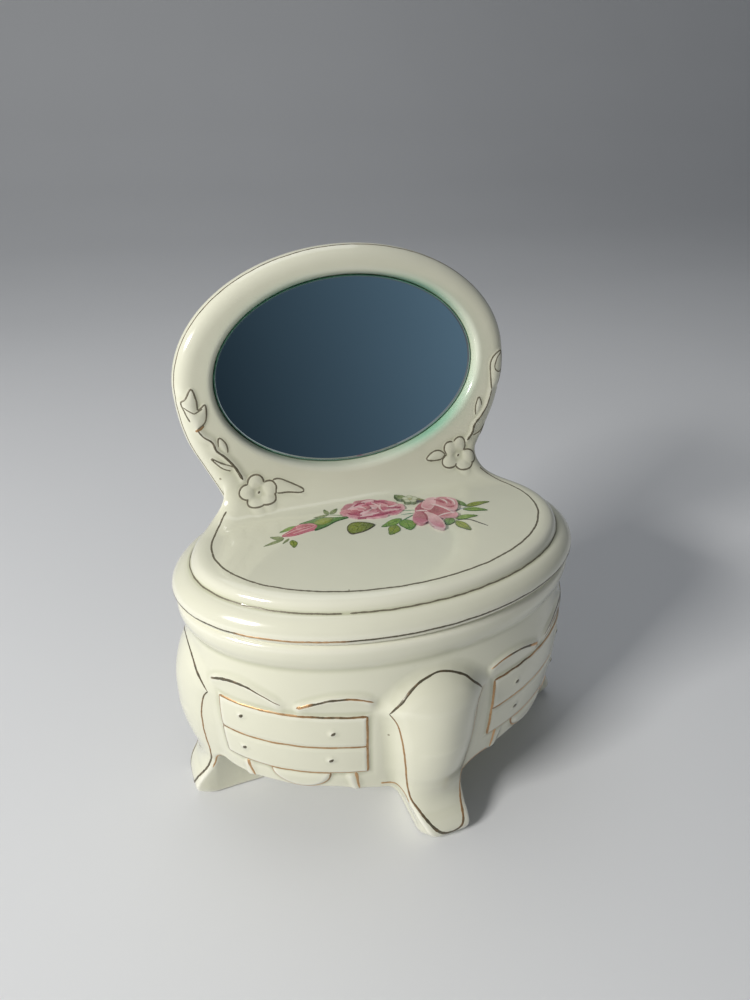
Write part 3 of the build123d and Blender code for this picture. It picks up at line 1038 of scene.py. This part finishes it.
def leaf_shape(base, tip, width, bend=0.0):
    """A leaf's outline from its base to its tip."""
    base, tip = np.array(base, float), np.array(tip, float)
    along = tip - base
    side = unit(np.array([-along[1], along[0]]))
    lobes = ((0, 0), (0.18, 0.72), (0.42, 1), (0.72, 0.72), (1, 0), (0.72, -0.62), (0.42, -1), (0.18, -0.8))
    return np.array([base + along * t + side * (0.5 * width * w + bend * 4 * t * (1 - t)) for t, w in lobes])


GREENS = {
    "yellow": ("9AA83C", "77903A", "55702F"),
    "fresh": ("8DB04A", "6E9A3E", "47732F"),
    "deep": ("6E9A4A", "4F7F3C", "35602F"),
    "dull": ("93A268", "788C55", "5A7045"),
    "brown": ("93A03A", "6B7A36", "47402A"),
}


def paint_leaf(transfer, base, tip, width, green, bend=0.0):
    """A leaf with a midrib and two pairs of veins."""
    colours = GREENS[green]
    outline = leaf_shape(base, tip, width, bend)
    base, along = np.array(base, float), np.array(tip, float) - base
    side = unit(np.array([-along[1], along[0]]))
    strokes = [([base, base + along * 0.5 + side * bend, base + along * 0.93], 0.16, colours[2])]
    for share in (0.25, 0.75):
        at = base + along * share + side * bend * 0.8
        for sign in (-1, 1):
            strokes.append(([at, at + along * 0.13 + side * sign * width * 0.26], 0.1, colours[2]))
    transfer.shape(outline, colours, base + along * 0.45, strokes=strokes)


PINKS = {
    "pale": ("D98C9A", "F0C3C6", "F4D2D2"),
    "soft": ("C9707F", "E4A3AC", "EDBCC0"),
    "mid": ("B9566B", "D88796", "E6A6AE"),
    "deep": ("A23A54", "C9657A", "DC8C98"),
    "dusk": ("AE6570", "C98D92", "D6A2A4"),
}


# A rose is seen a little from the side: its circle is squashed upwards and slants down to the right.
ROSE_SQUASH = 0.64
ROSE_SLANT = 0.14


def paint_petal(transfer, centre, direction, inner, outer, half_angle, pink):
    """A rose petal: a broad lobe between two radii from the rose's centre."""
    middle, half = math.radians(direction), math.radians(half_angle)

    def place(radius, turn):
        angle = middle + half * turn
        up = ROSE_SQUASH * radius * math.sin(angle) - ROSE_SLANT * radius * math.cos(angle)
        return centre[0] + radius * math.cos(angle), centre[1] + up

    edge = ((-1.0, 0.55), (-0.8, 0.9), (-0.35, 1.0), (0.1, 0.985), (0.5, 1.0), (0.85, 0.86), (1.0, 0.5))
    base = ((0.6, 1.0), (0.0, 1.12), (-0.6, 1.0))
    outline = [place(outer * share, turn) for turn, share in edge]
    outline += [place(inner * share, turn) for turn, share in base]
    across, up = 0.6 * inner * math.cos(middle), ROSE_SQUASH * 0.6 * inner * math.sin(middle)
    transfer.shape(outline, PINKS[pink], (centre[0] + across, centre[1] + up), 0.8)


def paint_full_rose(transfer):
    """The big open rose: three rounds of petals, then dark shades and light folds brushed over them."""
    centre, heart = (-0.4, 5.4), (0.0, 5.7)
    rounds = (
        (centre, (
            (95, 4.6, 7.9, 40, "dusk"), (148, 4.6, 8.3, 30, "dusk"), (40, 4.8, 8.1, 34, "mid"),
            (186, 4.4, 8.7, 22, "mid"), (355, 4.6, 8.6, 28, "soft"), (216, 4.6, 8.5, 26, "soft"),
            (320, 4.6, 8.1, 26, "mid"), (266, 4.2, 7.9, 34, "soft"),
        )),
        (centre, (
            (66, 2.6, 6.1, 40, "mid"), (138, 2.6, 6.3, 36, "pale"), (8, 2.6, 6.6, 34, "deep"),
            (200, 2.6, 6.6, 30, "deep"), (330, 2.7, 6.3, 30, "soft"), (248, 2.4, 6.0, 36, "pale"),
            (292, 2.4, 5.6, 26, "mid"),
        )),
        (heart, (
            (104, 1.0, 4.0, 44, "deep"), (26, 1.0, 4.2, 40, "soft"), (172, 1.0, 4.4, 38, "mid"),
            (238, 1.0, 4.0, 40, "soft"), (312, 1.0, 3.8, 40, "deep"), (70, 0.3, 2.4, 50, "pale"),
        )),
    )
    for middle, petals in rounds:
        for petal in petals:
            paint_petal(transfer, middle, *petal)
    shades = (
        ((-5.8, 2.1), (-2.6, 1.5), (1.6, 1.4), (4.8, 2.1)), ((-7.4, 5.4), (-5.6, 3.6), (-4.2, 3.0)),
        ((-1.0, 8.0), (-0.8, 6.4), (-3.0, 4.9)), ((2.6, 5.2), (4.4, 3.9), (7.0, 3.5)),
        ((1.4, 8.9), (3.2, 8.0), (4.2, 6.6)), ((-4.6, 8.2), (-3.2, 8.9), (-1.4, 9.0)),
        ((-1.6, 1.9), (0.8, 1.6), (3.6, 2.0)),
    )
    transfer.folds(shades, 0.5, "B4506A")
    folds = (
        ((0.5, 8.5), (1.3, 6.8), (1.7, 5.0)), ((-6.6, 7.4), (-4.6, 7.7), (-3.0, 7.2), (-2.1, 5.6)),
        ((-4.2, 3.9), (-2.4, 4.2), (-0.8, 5.0)), ((-5.0, 2.3), (-2.4, 2.5), (0.4, 2.6)),
        ((1.6, 2.8), (3.6, 2.9), (6.0, 2.3)), ((2.4, 6.6), (1.4, 5.0), (1.6, 2.8)),
        ((-2.2, 9.2), (-0.6, 9.5), (1.4, 9.2)), ((3.4, 4.6), (4.8, 4.6), (6.6, 4.9)),
    )
    transfer.folds(folds, 0.5, "F3D0D0")


def paint_side_rose(transfer):
    """The half-open rose with a falling petal."""
    shapes = (
        ("soft", (15.0, -5.0), (
            (13.8, -5.2), (16.2, -4.0), (18.3, -3.7), (19.4, -4.8), (18.9, -6.3), (16.6, -6.1),
        )),
        ("deep", (11.4, 0.6), ((9.7, 0.2), (11.5, 2.6), (13.4, 3.7), (12.8, 1.2), (11.4, -0.8))),
        ("soft", (18.4, 2.4), (
            (16.0, 2.4), (18.0, 4.8), (20.6, 4.4), (22.3, 2.6), (21.6, -1.0), (19.6, -3.4), (17.4, -1.0),
        )),
        ("deep", (14.6, -1.6), (
            (12.4, 0.2), (15.2, 1.4), (17.6, -1.6), (18.4, -4.2), (14.6, -5.0), (12.2, -2.6),
        )),
        ("pale", (12.4, 0.0), (
            (13.4, 3.6), (15.6, 5.3), (17.6, 5.2), (16.4, 2.0), (13.0, -0.9), (11.9, 0.8),
        )),
        ("mid", (11.2, -2.2), (
            (8.0, -2.1), (9.6, -0.5), (12.1, -1.0), (11.2, -5.7), (7.8, -6.9), (7.0, -4.9),
        )),
        ("pale", (12.2, -10.6), (
            (11.7, -1.7), (13.4, -3.8), (13.9, -7.2), (12.4, -11.2), (11.0, -9.9), (10.4, -6.5),
        )),
    )
    for pink, focus, outline in shapes:
        transfer.shape(outline, PINKS[pink], focus, 0.8)
    shades = (
        ((16.8, 3.8), (18.0, 2.6), (18.6, 1.2)), ((19.6, 2.9), (20.4, 1.6), (20.2, 0.2)),
        ((18.2, -0.6), (19.2, -1.4), (20.4, -1.2)),
    )
    transfer.folds(shades, 0.7, "B24660")
    folds = (
        ((15.0, 1.9), (17.0, -0.8), (18.3, -4.4)), ((18.6, 3.8), (19.4, 2.2), (19.2, 0.6)),
        ((13.9, -5.0), (16.0, -4.4), (18.8, -4.6)), ((9.6, -0.4), (11.0, -0.7), (12.4, -1.4)),
        ((20.6, 3.6), (21.4, 1.8), (20.9, -0.6)),
    )
    transfer.folds(folds, 0.5, "F6DEDC")
    transfer.folds([((10.9, -1.4), (11.0, -3.6), (10.2, -6.0))], 0.6, "A83F5A")


def paint_leaves(transfer):
    """The stems and the leaves behind the roses."""
    stems = (
        (((-12.4, 7.3), (-9.6, 6.0), (-7.4, 4.8)), 0.45, "6B8A55"),
        (((4.6, -2.8), (6.4, -2.0), (9.8, -0.4)), 0.5, "5C8A66"),
        (((6.0, 2.0), (8.0, 1.8), (10.2, 1.2)), 0.45, "6C9A78"),
        (((5.6, 0.2), (7.8, 0.0), (9.6, -0.2)), 0.4, "6C9A78"),
        (((20.0, -2.7), (21.8, -2.3), (23.6, -1.9)), 0.45, "8A93A8"),
        (((17.6, -7.4), (21.2, -8.2), (23.0, -10.6), (24.3, -12.6)), 0.5, "4A4740"),
    )
    for stem in stems:
        transfer.stroke(*stem)
    transfer.layer += 1
    leaves = (
        ((-26.2, -0.5), (-31.6, -1.7), 1.3, "dull", -0.1), ((-26.0, -0.2), (-29.0, 2.0), 1.8, "dull", 0.1),
        ((-21.2, 4.6), (-26.4, 3.0), 1.6, "fresh", -0.2), ((-24.8, -0.6), (-27.0, -2.4), 0.8, "dull", 0.0),
        ((-24.4, -1.6), (-24.9, -5.2), 1.9, "yellow", 0.2), ((-12.0, 7.2), (-16.2, 7.1), 1.1, "dull", 0.1),
        ((-12.0, 7.4), (-12.4, 9.9), 1.3, "dull", 0.1), ((-11.6, 7.4), (-9.0, 9.3), 1.4, "dull", -0.1),
        ((4.8, -1.8), (-1.6, -3.9), 2.6, "fresh", 0.2), ((2.3, -4.4), (-1.1, -8.3), 3.2, "yellow", 0.2),
        ((5.4, -2.6), (4.6, -8.0), 4.4, "fresh", 0.2), ((23.8, -1.6), (22.2, 3.4), 1.7, "deep", -0.2),
        ((23.6, -1.6), (31.1, -1.2), 2.0, "yellow", 0.3), ((22.2, -2.8), (28.2, -5.4), 2.0, "fresh", 0.3),
        ((17.2, -6.0), (14.4, -9.0), 2.8, "deep", 0.0), ((18.0, -6.8), (24.2, -7.2), 2.0, "fresh", 0.3),
        ((17.6, -7.9), (19.0, -13.2), 2.7, "yellow", -0.2),
    )
    for leaf in leaves:
        paint_leaf(transfer, *leaf)


def paint_curled_leaf(transfer):
    """The browned leaf that curls below the full rose."""
    outline = (
        (-10.3, -3.0), (-9.6, -0.7), (-7.9, 0.6), (-4.8, -0.2), (-2.8, -2.4), (-4.8, -3.9), (-8.2, -4.8),
        (-9.9, -4.6),
    )
    veins = (
        ((-9.4, -2.6), (-6.8, -1.8), (-3.2, -2.4)), ((-8.2, -0.6), (-7.0, -1.9)),
        ((-6.4, -0.4), (-5.2, -2.0)), ((-8.4, -4.0), (-7.0, -2.2)), ((-6.0, -3.9), (-5.0, -2.6)),
    )
    strokes = [(vein, 0.16, "4C5A2C") for vein in veins]
    transfer.shape(outline, GREENS["brown"], (-8.2, -1.8), strokes=strokes)


def paint_bud(transfer):
    """The bud at the left: two petals with folds, and the green cup that holds them."""
    outer = (
        (-26.2, 1.0), (-24.0, 2.6), (-21.2, 4.6), (-18.8, 5.0), (-16.3, 3.0), (-16.8, 1.4), (-19.9, 0.6),
        (-24.0, 0.2),
    )
    inner = ((-21.8, 3.8), (-19.2, 4.6), (-17.0, 2.8), (-19.0, 2.0), (-21.4, 2.0))
    cup = (
        (-20.6, 5.0), (-17.6, 5.9), (-14.8, 6.3), (-11.6, 5.2), (-7.4, 3.8), (-11.6, 2.8), (-14.8, 1.2),
        (-17.9, 0.6), (-16.6, 2.6), (-17.4, 4.0),
    )
    light = ((-17.2, 3.9), (-14.6, 5.6), (-11.4, 4.9), (-12.6, 3.2), (-16.0, 2.4))
    transfer.shape(outer, ("C0506A", "DE8894", "C9657A"), (-24.4, 1.2))
    transfer.shape(inner, ("B03A58", "D97C8C", "E8A8B0"), (-19.0, 2.4))
    for fold in (((-25.6, 1.1), (-22.6, 2.4), (-18.2, 2.8)), ((-23.4, 0.9), (-20.4, 1.6), (-17.6, 2.2))):
        transfer.stroke(fold, 0.3, "EDB6BC")
    transfer.layer += 1
    transfer.shape(cup, GREENS["deep"], (-13.0, 3.8))
    transfer.shape(light, GREENS["yellow"], (-14.6, 3.8))


def paint_pale_flower(transfer):
    """The little greenish flower between the roses, with a leaf on each side."""
    centre = (10.8, 6.3)
    paint_leaf(transfer, (10.0, 7.0), (7.6, 9.8), 2.4, "dull", 0.1)
    paint_leaf(transfer, (12.0, 6.0), (14.4, 4.2), 0.8, "brown", 0.1)
    for lobe in centre + ellipse_outline(1.25, 1.25, 5):
        transfer.shape(lobe + ellipse_outline(0.95, 0.95, 8), ("DADFC4", "C3CCA8", "7F8F66"))
    transfer.shape(centre + ellipse_outline(0.6, 0.6, 7), ("CFCB94", "A9AE7C", "6B7A4A"))


# ---------------------------------------------------------------- materials
class Nodes:
    """A short way to write a material's nodes."""

    def __init__(self, name):
        self.material = bpy.data.materials.new(name)
        self.material.use_nodes = True
        self.tree = self.material.node_tree
        self.shader = self.tree.nodes["Principled BSDF"]

    def add(self, kind, **settings):
        """A new shader node, with its settings."""
        node = self.tree.nodes.new("ShaderNode" + kind)
        for key, value in settings.items():
            setattr(node, key, value)
        return node

    def link(self, source, target):
        """Join an output to an input."""
        self.tree.links.new(source, target)

    def feed(self, socket, value):
        """Give a socket a number, a colour, a six-digit sRGB code, or another node's output."""
        if isinstance(value, bpy.types.NodeSocket):
            self.link(value, socket)
        elif isinstance(value, str):
            socket.default_value = (*to_linear(value), 1.0)
        else:
            socket.default_value = value

    def noise(self, scale, detail=3.0, rough=0.5):
        """Noise in the piece's own space, with about scale waves to the metre."""
        node = self.add("TexNoise")
        self.feed(node.inputs["Vector"], self.place())
        node.inputs["Scale"].default_value = scale
        node.inputs["Detail"].default_value = detail
        node.inputs["Roughness"].default_value = rough
        return node.outputs["Fac"]

    def place(self):
        """Where a point is in the piece's own space, in metres."""
        return self.add("TexCoord").outputs["Object"]

    def number(self, name):
        """A number kept at each of the mesh's points."""
        return self.add("Attribute", attribute_name=name).outputs["Fac"]

    def maths(self, operation, a, b=0.0):
        """A sum, product or other arithmetic of two numbers."""
        node = self.add("Math", operation=operation)
        self.feed(node.inputs[0], a)
        self.feed(node.inputs[1], b)
        return node.outputs[0]

    def span(self, value, low, high, to_low=0.0, to_high=1.0):
        """A number carried from the range low to high onto the range to_low to to_high."""
        node = self.add("MapRange")
        for socket, item in zip(node.inputs, (value, low, high, to_low, to_high)):
            self.feed(socket, item)
        return node.outputs[0]

    def mix(self, share, a, b):
        """A colour between a and b."""
        node = self.add("Mix", data_type="RGBA")
        self.feed(node.inputs[0], share)
        self.feed(node.inputs[6], a)
        self.feed(node.inputs[7], b)
        return node.outputs[2]

    def bump(self, height, distance, strength):
        """Small relief, distance metres high."""
        node = self.add("Bump")
        node.inputs["Strength"].default_value = strength
        node.inputs["Distance"].default_value = distance
        self.feed(node.inputs["Height"], height)
        self.link(node.outputs["Normal"], self.shader.inputs["Normal"])

    def set(self, **values):
        """The finished material, with the shader's values."""
        for name, value in values.items():
            self.feed(self.shader.inputs[name.replace("_", " ")], value)
        return self.material


def glaze_material():
    """Cream glaze: thicker and greener in hollows, where the darkening is also painted shade, thin and pale on
    edges, with a painted green reflection beside the glass, pinholes and a bare foot.
    """
    n = Nodes("cream_glaze")
    hollow = n.number("hollow")
    drift = n.noise(28.0, 3.0)
    base = n.mix(drift, "DAD9C2", "E2E1CC")
    # Darker and greener in hollows: partly glaze pooling, partly painted shade.
    base = n.mix(n.span(hollow, 0.01, 0.16), base, "BFC0A2")
    base = n.mix(n.span(hollow, -0.03, -0.22), base, "ECEADB")
    # Painted green reflection of the glass's edge on the glaze beside it.
    base = n.mix(n.number("painted_green_reflection"), base, "7DB294")
    speck = n.add("TexVoronoi", feature="F1")
    n.feed(speck.inputs["Vector"], n.place())
    speck.inputs["Scale"].default_value = 160.0
    dot = n.maths("LESS_THAN", speck.outputs["Distance"], 0.055)
    chance = n.add("SeparateColor")
    n.link(speck.outputs["Color"], chance.inputs[0])
    dot = n.maths("MULTIPLY", dot, n.maths("LESS_THAN", chance.outputs[0], 0.09))
    base = n.mix(n.maths("MULTIPLY", dot, 0.7), base, "7A7258")
    place = n.add("SeparateXYZ")
    n.link(n.place(), place.inputs[0])
    height = n.maths("ADD", place.outputs[2], n.maths("MULTIPLY", n.noise(300.0), 0.0003))
    bare = n.maths("LESS_THAN", height, 0.00042)
    base = n.mix(bare, base, n.mix(n.noise(900.0), "CFC4A8", "E6DDC6"))
    rough = n.span(n.noise(60.0, 4.0), 0.3, 0.7, 0.1, 0.2)
    rough = n.maths("ADD", rough, n.maths("MULTIPLY", bare, 0.6))
    wave = n.maths("ADD", n.noise(110.0, 1.5), n.maths("MULTIPLY", n.noise(900.0, 2.0), 0.06))
    n.bump(wave, 0.00035, 0.35)
    coat = n.maths("MULTIPLY", n.maths("SUBTRACT", 1.0, bare), 0.6)
    return n.set(Base_Color=base, Roughness=rough, Coat_Weight=coat, Coat_Roughness=0.04, IOR=1.52)


def gilding_material():
    """Brushed gold, worn brown where tone is 0 and coppery where it is 1."""
    n = Nodes("worn_gilding")
    tone = n.number("tone")
    wear = n.noise(900.0, 4.0, 0.7)
    tone = n.maths("ADD", tone, n.span(wear, 0.3, 0.7, -0.16, 0.16))
    base = n.mix(n.span(tone, -1.0, 0.0), "918A76", "57513F")
    base = n.mix(n.span(tone, 0.05, 0.5), base, "A68158")
    base = n.mix(n.span(tone, 0.5, 1.0), base, "D9B083")
    base = n.mix(n.span(n.noise(420.0, 2.0), 0.62, 0.74, 0.0, 0.35), base, "B9A98A")
    n.bump(wear, 0.00006, 0.5)
    metal = n.span(tone, 0.0, 0.8, 0.15, 0.75)
    return n.set(Base_Color=base, Metallic=metal, Roughness=n.span(wear, 0.3, 0.7, 0.26, 0.48))


def transfer_material():
    """Printed colours under the glaze, with a soft watercolour mottle."""
    n = Nodes("rose_transfer")
    paint = n.add("Attribute", attribute_name="paint").outputs["Color"]
    mottle = n.mix(n.span(n.noise(700.0, 4.0, 0.65), 0.3, 0.7), "D9D4CC", "FFFFFF")
    multiply = n.add("Mix", data_type="RGBA", blend_type="MULTIPLY")
    multiply.inputs[0].default_value = 0.75
    n.feed(multiply.inputs[6], paint)
    n.feed(multiply.inputs[7], mottle)
    grain = n.noise(2600.0, 2.0)
    tint = n.mix(n.span(grain, 0.45, 0.75, 0.0, 0.18), multiply.outputs[2], "EFE6D8")
    n.bump(grain, 0.00003, 0.2)
    rough = n.span(grain, 0.3, 0.7, 0.14, 0.22)
    return n.set(Base_Color=tint, Roughness=rough, Coat_Weight=1.0, Coat_Roughness=0.03)


def pane_material():
    """Silvered glass: a clean mirror with faint marks, and a green ground edge."""
    n = Nodes("mirror_silver")
    rim = n.number("rim")
    marks = n.noise(240.0, 5.0, 0.7)
    silver = n.mix(n.noise(22.0), "AEB9BE", "BCC6C9")
    edge = n.mix(n.noise(900.0, 3.0), "1F6B57", "8FD0B4")
    base = n.mix(rim, silver, edge)
    rough = n.maths("ADD", n.span(marks, 0.62, 0.8, 0.012, 0.1), n.maths("MULTIPLY", rim, 0.22))
    chips = n.maths("MULTIPLY", n.noise(1500.0, 4.0, 0.8), rim)
    n.bump(chips, 0.0003, 0.6)
    return n.set(Base_Color=base, Metallic=n.span(rim, 0.0, 1.0, 1.0, 0.35), Roughness=rough)


def backing_material():
    """Grey paint brushed over the silvering."""
    n = Nodes("backing_grey_paint")
    strokes = n.add("TexWave", wave_type="BANDS")
    n.feed(strokes.inputs["Vector"], n.place())
    strokes.inputs["Scale"].default_value = 140.0
    strokes.inputs["Distortion"].default_value = 6.0
    streak = strokes.outputs["Fac"]
    n.bump(n.maths("ADD", streak, n.noise(800.0)), 0.0001, 0.5)
    base = n.mix(streak, "3A3B3D", "4B4C4E")
    return n.set(Base_Color=base, Roughness=n.span(n.noise(90.0), 0.3, 0.7, 0.5, 0.75))


def glue_material():
    """Dried amber-white glue."""
    n = Nodes("glue_dried")
    cloud = n.noise(260.0, 4.0)
    n.bump(cloud, 0.0002, 0.6)
    base = n.mix(cloud, "CDBF98", "E3DAC0")
    return n.set(Base_Color=base, Roughness=n.span(cloud, 0.3, 0.7, 0.3, 0.55))


def stage_material():
    """A plain pale surface, clear from below and within half a millimetre of what stands on it, so that the
    underside can be looked at."""
    n = Nodes("pale_sweep")
    touching = n.maths("LESS_THAN", n.add("LightPath").outputs["Ray Length"], 0.0005)
    clear = n.maths("MAXIMUM", touching, n.add("NewGeometry").outputs["Backfacing"])
    base = n.mix(n.noise(3.0, 4.0), "DADBDC", "E2E3E4")
    return n.set(Base_Color=base, Roughness=0.7, Alpha=n.maths("SUBTRACT", 1.0, clear))


def painted_reflection_material():
    """A dark slate gradient that glows as a painted reflection of a dark room, which only the mirror sees,
    clear from its other side.
    """
    n = Nodes("painted_reflection_slate")
    place = n.add("SeparateXYZ")
    n.link(n.place(), place.inputs[0])
    slant = n.maths("ADD", place.outputs[0], n.maths("MULTIPLY", place.outputs[2], 0.25))
    share = n.maths("POWER", n.span(slant, -0.026, 0.066), 1.35)
    # The painted reflection runs from near black at the left to dark slate blue at the right and top.
    shade = n.mix(share, (0.014, 0.026, 0.036, 1), (0.165, 0.255, 0.335, 1))
    seen = n.maths("SUBTRACT", 1.0, n.add("NewGeometry").outputs["Backfacing"])
    n.set(Base_Color=(0, 0, 0, 1), Roughness=1.0, Specular_IOR_Level=0.0)
    return n.set(Emission_Color=shade, Emission_Strength=1.0, Alpha=seen)


# ---------------------------------------------------------------- pieces
# The glass from the middle of its face over its edge to its back, as (inset, depth, 1 on the ground edge).
PANE_SECTION = (
    (-12.0, 0.0, 0.0), (-4.0, 0.0, 0.0), (-0.7, 0.0, 0.0), (-0.42, -0.005, 0.1), (-0.24, -0.06, 1.0),
    (-0.03, -0.3, 1.0), (0.0, -0.8, 1.0), (0.0, -1.3, 1.0), (-0.15, -1.8, 1.0), (-0.4, -1.98, 1.0),
    (-4.0, -1.98, 0.0),
)


def make_pane(material):
    """The glass, with a softened edge that wavers a little like hand-cut mirror."""
    count = 240
    turn = np.linspace(0, 2 * math.pi, count, endpoint=False)
    waver = 0.05 * wander(count, 1.0, 20.0) * np.sin(turn / 2) ** 2
    rings, rims = [], []
    for inset, depth, rim in PANE_SECTION:
        chip = 0.06 * wander(count, 1.0, 4.0) * (rim > 0.5)
        across = (PANE_HALF_WIDTH + inset + waver + chip) * np.cos(turn)
        up = (PANE_HALF_HEIGHT + inset + waver + chip) * np.sin(turn)
        rings.append(mirror_point(across, up, depth - 0.02))
        rims += [rim] * count
    index = np.arange(len(rings) * count).reshape(-1, count)
    front, back = index.size, index.size + 1
    rings.append(mirror_point(np.zeros(2), 0.0, np.array([-0.02, -2.0])))
    first, last = np.append(index[0], 0), np.append(index[-1], index[-1, 0])
    faces = grid_faces(index, closed_columns=True)
    faces += [(front, first[i], first[i + 1]) for i in range(count)]
    faces += [(back, last[i + 1], last[i]) for i in range(count)]
    pane = add_object("mirror_pane", np.vstack(rings), faces)
    recalculate_outside(pane.data)
    add_number(pane.data, "rim", rims + [0.0, 0.0])
    dress(pane, material, "lid", "mirror_glass")


def painted_glass_reflection(mesh):
    """Where a painted green reflection of the glass's edge lies on the glaze beside it: most at the lower and
    upper right.
    """
    across, up, out = mirror_coordinates(*mesh_points(mesh).T)
    edge = (np.hypot(across / PANE_HALF_WIDTH, up / PANE_HALF_HEIGHT) - 1) * PANE_HALF_HEIGHT
    near = hill(np.maximum(edge, 0), 1.5) * smooth_step(-1.0, 0.0, out) * (edge > -1.0)
    angle = np.degrees(np.arctan2(up, across))
    right = 0.8 * hill(angle + 38, 26) + 0.75 * hill(angle - 46, 24)
    return near * (0.12 + right + 0.6 * hill(angle - 128, 26))


def make_castings(material):
    """The glazed base and lid, coarser for a quick try."""
    step, most = ((0.45, 180_000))
    margin = 2.0
    base = field_mesh("box_casting", base_field, BASE_LOW - margin, BASE_HIGH + margin, step, most)
    lid = field_mesh("lid_casting", lid_field, LID_LOW - margin, LID_HIGH + margin, step, most)
    # The glaze beside the glass gets a painted green reflection.
    add_number(lid.data, "painted_green_reflection", painted_glass_reflection(lid.data))
    dress(base, material, "box", "box_base")
    dress(lid, material, "lid", "lid")


def make_gilding(material):
    """The gold lines, in four pieces."""
    parts = (
        ("gilding_lid_rings", "lid", lid_field, gild_rings),
        ("gilding_frame_sprays", "lid", lid_field, gild_frame),
        ("gilding_legs", "box", base_field, gild_legs),
        ("gilding_drawers", "box", base_field, gild_drawers),
    )
    for name, body, field, draw in parts:
        gold = Gilding(field)
        draw(gold)
        gold.finish(name, body, material)


def make_transfer(material):
    """The rose spray on the lid's crown, from back to front."""
    transfer = Transfer(lid_field)
    paint_leaves(transfer)
    paint_curled_leaf(transfer)
    paint_bud(transfer)
    paint_full_rose(transfer)
    paint_side_rose(transfer)
    paint_pale_flower(transfer)
    transfer.finish("rose_transfer", "lid", material)


def finish_cad_nodes():
    """The hidden backing and glue keep their CAD shapes and get their own materials."""
    for node, material in (("mirror_backing", backing_material()), ("mirror_adhesive", glue_material())):
        mesh = frame["nodes"][node].data
        mesh.materials.clear()
        mesh.materials.append(material)


# ---------------------------------------------------------------- stage, light, camera
def make_stage():
    """A pale floor that sweeps up into a pale backdrop."""
    depth = np.array([-2.5, -1.0, 0.0, 0.6, 0.9, 1.1, 1.25, 1.34, 1.38, 1.4, 1.4])
    height = np.array([0.0, 0.0, 0.0, 0.0, 0.02, 0.07, 0.16, 0.3, 0.5, 0.9, 2.2])
    width = np.linspace(-3.0, 3.0, 7)
    points = [(x, y, z) for y, z in zip(depth, height) for x in width]
    index = np.arange(len(points)).reshape(len(depth), len(width))
    sweep = add_object("stage_sweep", np.array(points) / MM, grid_faces(index))
    sweep.data.materials.append(stage_material())


def make_painted_reflection_card():
    """A card in front of the glass that glows with a painted reflection of a dark room, which rises with the
    lid and which only the mirror sees.
    """
    rim = ellipse_outline(PANE_HALF_WIDTH - 0.5, PANE_HALF_HEIGHT - 0.5)
    card = add_object("stage_painted_reflection_card", mirror_point(*rim.T, 1.0), [tuple(range(len(rim)))], smooth=False)
    if card.data.polygons[0].normal.y < 0:
        card.data.flip_normals()
    card.data.materials.append(painted_reflection_material())
    lid = frame["bodies"]["lid"]
    card.parent = lid
    card.matrix_parent_inverse = lid.matrix_world.inverted()
    card.visible_camera = False
    card.visible_shadow = False
    card.visible_diffuse = False


def aim(obj, target):
    """Turn a light or camera towards a point."""
    direction = Vector(target) - Vector(obj.location)
    obj.rotation_euler = direction.to_track_quat("-Z", "Y").to_euler()


def area_light(name, place, target, size, power, tint):
    """A soft box that shines on a point."""
    light = bpy.data.lights.new(name, "AREA")
    light.shape = "RECTANGLE"
    light.size, light.size_y = size
    light.energy = power
    light.color = tint
    obj = bpy.data.objects.new(name, light)
    bpy.context.scene.collection.objects.link(obj)
    obj.location = place
    aim(obj, target)


def make_light():
    """A soft key from the upper left, a weak light overhead, and a pale surround."""
    middle = (0, 0, 0.06)
    area_light("key", (-0.67, -0.25, 0.46), middle, (0.24, 0.1), 6.1, (1.0, 0.985, 0.96))
    area_light("overhead", (0.0, 0.3, 0.9), middle, (0.7, 0.7), 1.5, (0.95, 0.97, 1.0))
    world = bpy.data.worlds.new("surround")
    bpy.context.scene.world = world
    world.use_nodes = True
    background = world.node_tree.nodes["Background"]
    background.inputs["Color"].default_value = (0.80, 0.84, 0.90, 1)
    background.inputs["Strength"].default_value = 0.19


def make_camera():
    """The camera stands front-left of the box and looks down on it."""
    azimuth, elevation, distance = math.radians(21.5), math.radians(27.52), 182.9
    target = np.array([-1.8, 0.0, 0.572 * LID_HIGH[2]])
    level = np.array([-math.sin(azimuth), -math.cos(azimuth), 0.0])
    back = level * math.cos(elevation) + np.array([0.0, 0.0, math.sin(elevation)])
    data = bpy.data.cameras.new("camera")
    data.sensor_fit = "VERTICAL"
    data.sensor_height = 36.0
    data.lens = 25.9
    data.clip_start = 0.01
    camera = bpy.data.objects.new("camera", data)
    bpy.context.scene.collection.objects.link(camera)
    camera.location = (target + back * distance) * MM
    aim(camera, target * MM)
    bpy.context.scene.camera = camera


# ---------------------------------------------------------------- build
bpy.context.scene.view_settings.view_transform = "Standard"
make_castings(glaze_material())
make_pane(pane_material())
make_gilding(gilding_material())
make_transfer(transfer_material())
finish_cad_nodes()
make_stage()
make_painted_reflection_card()
make_light()
make_camera()
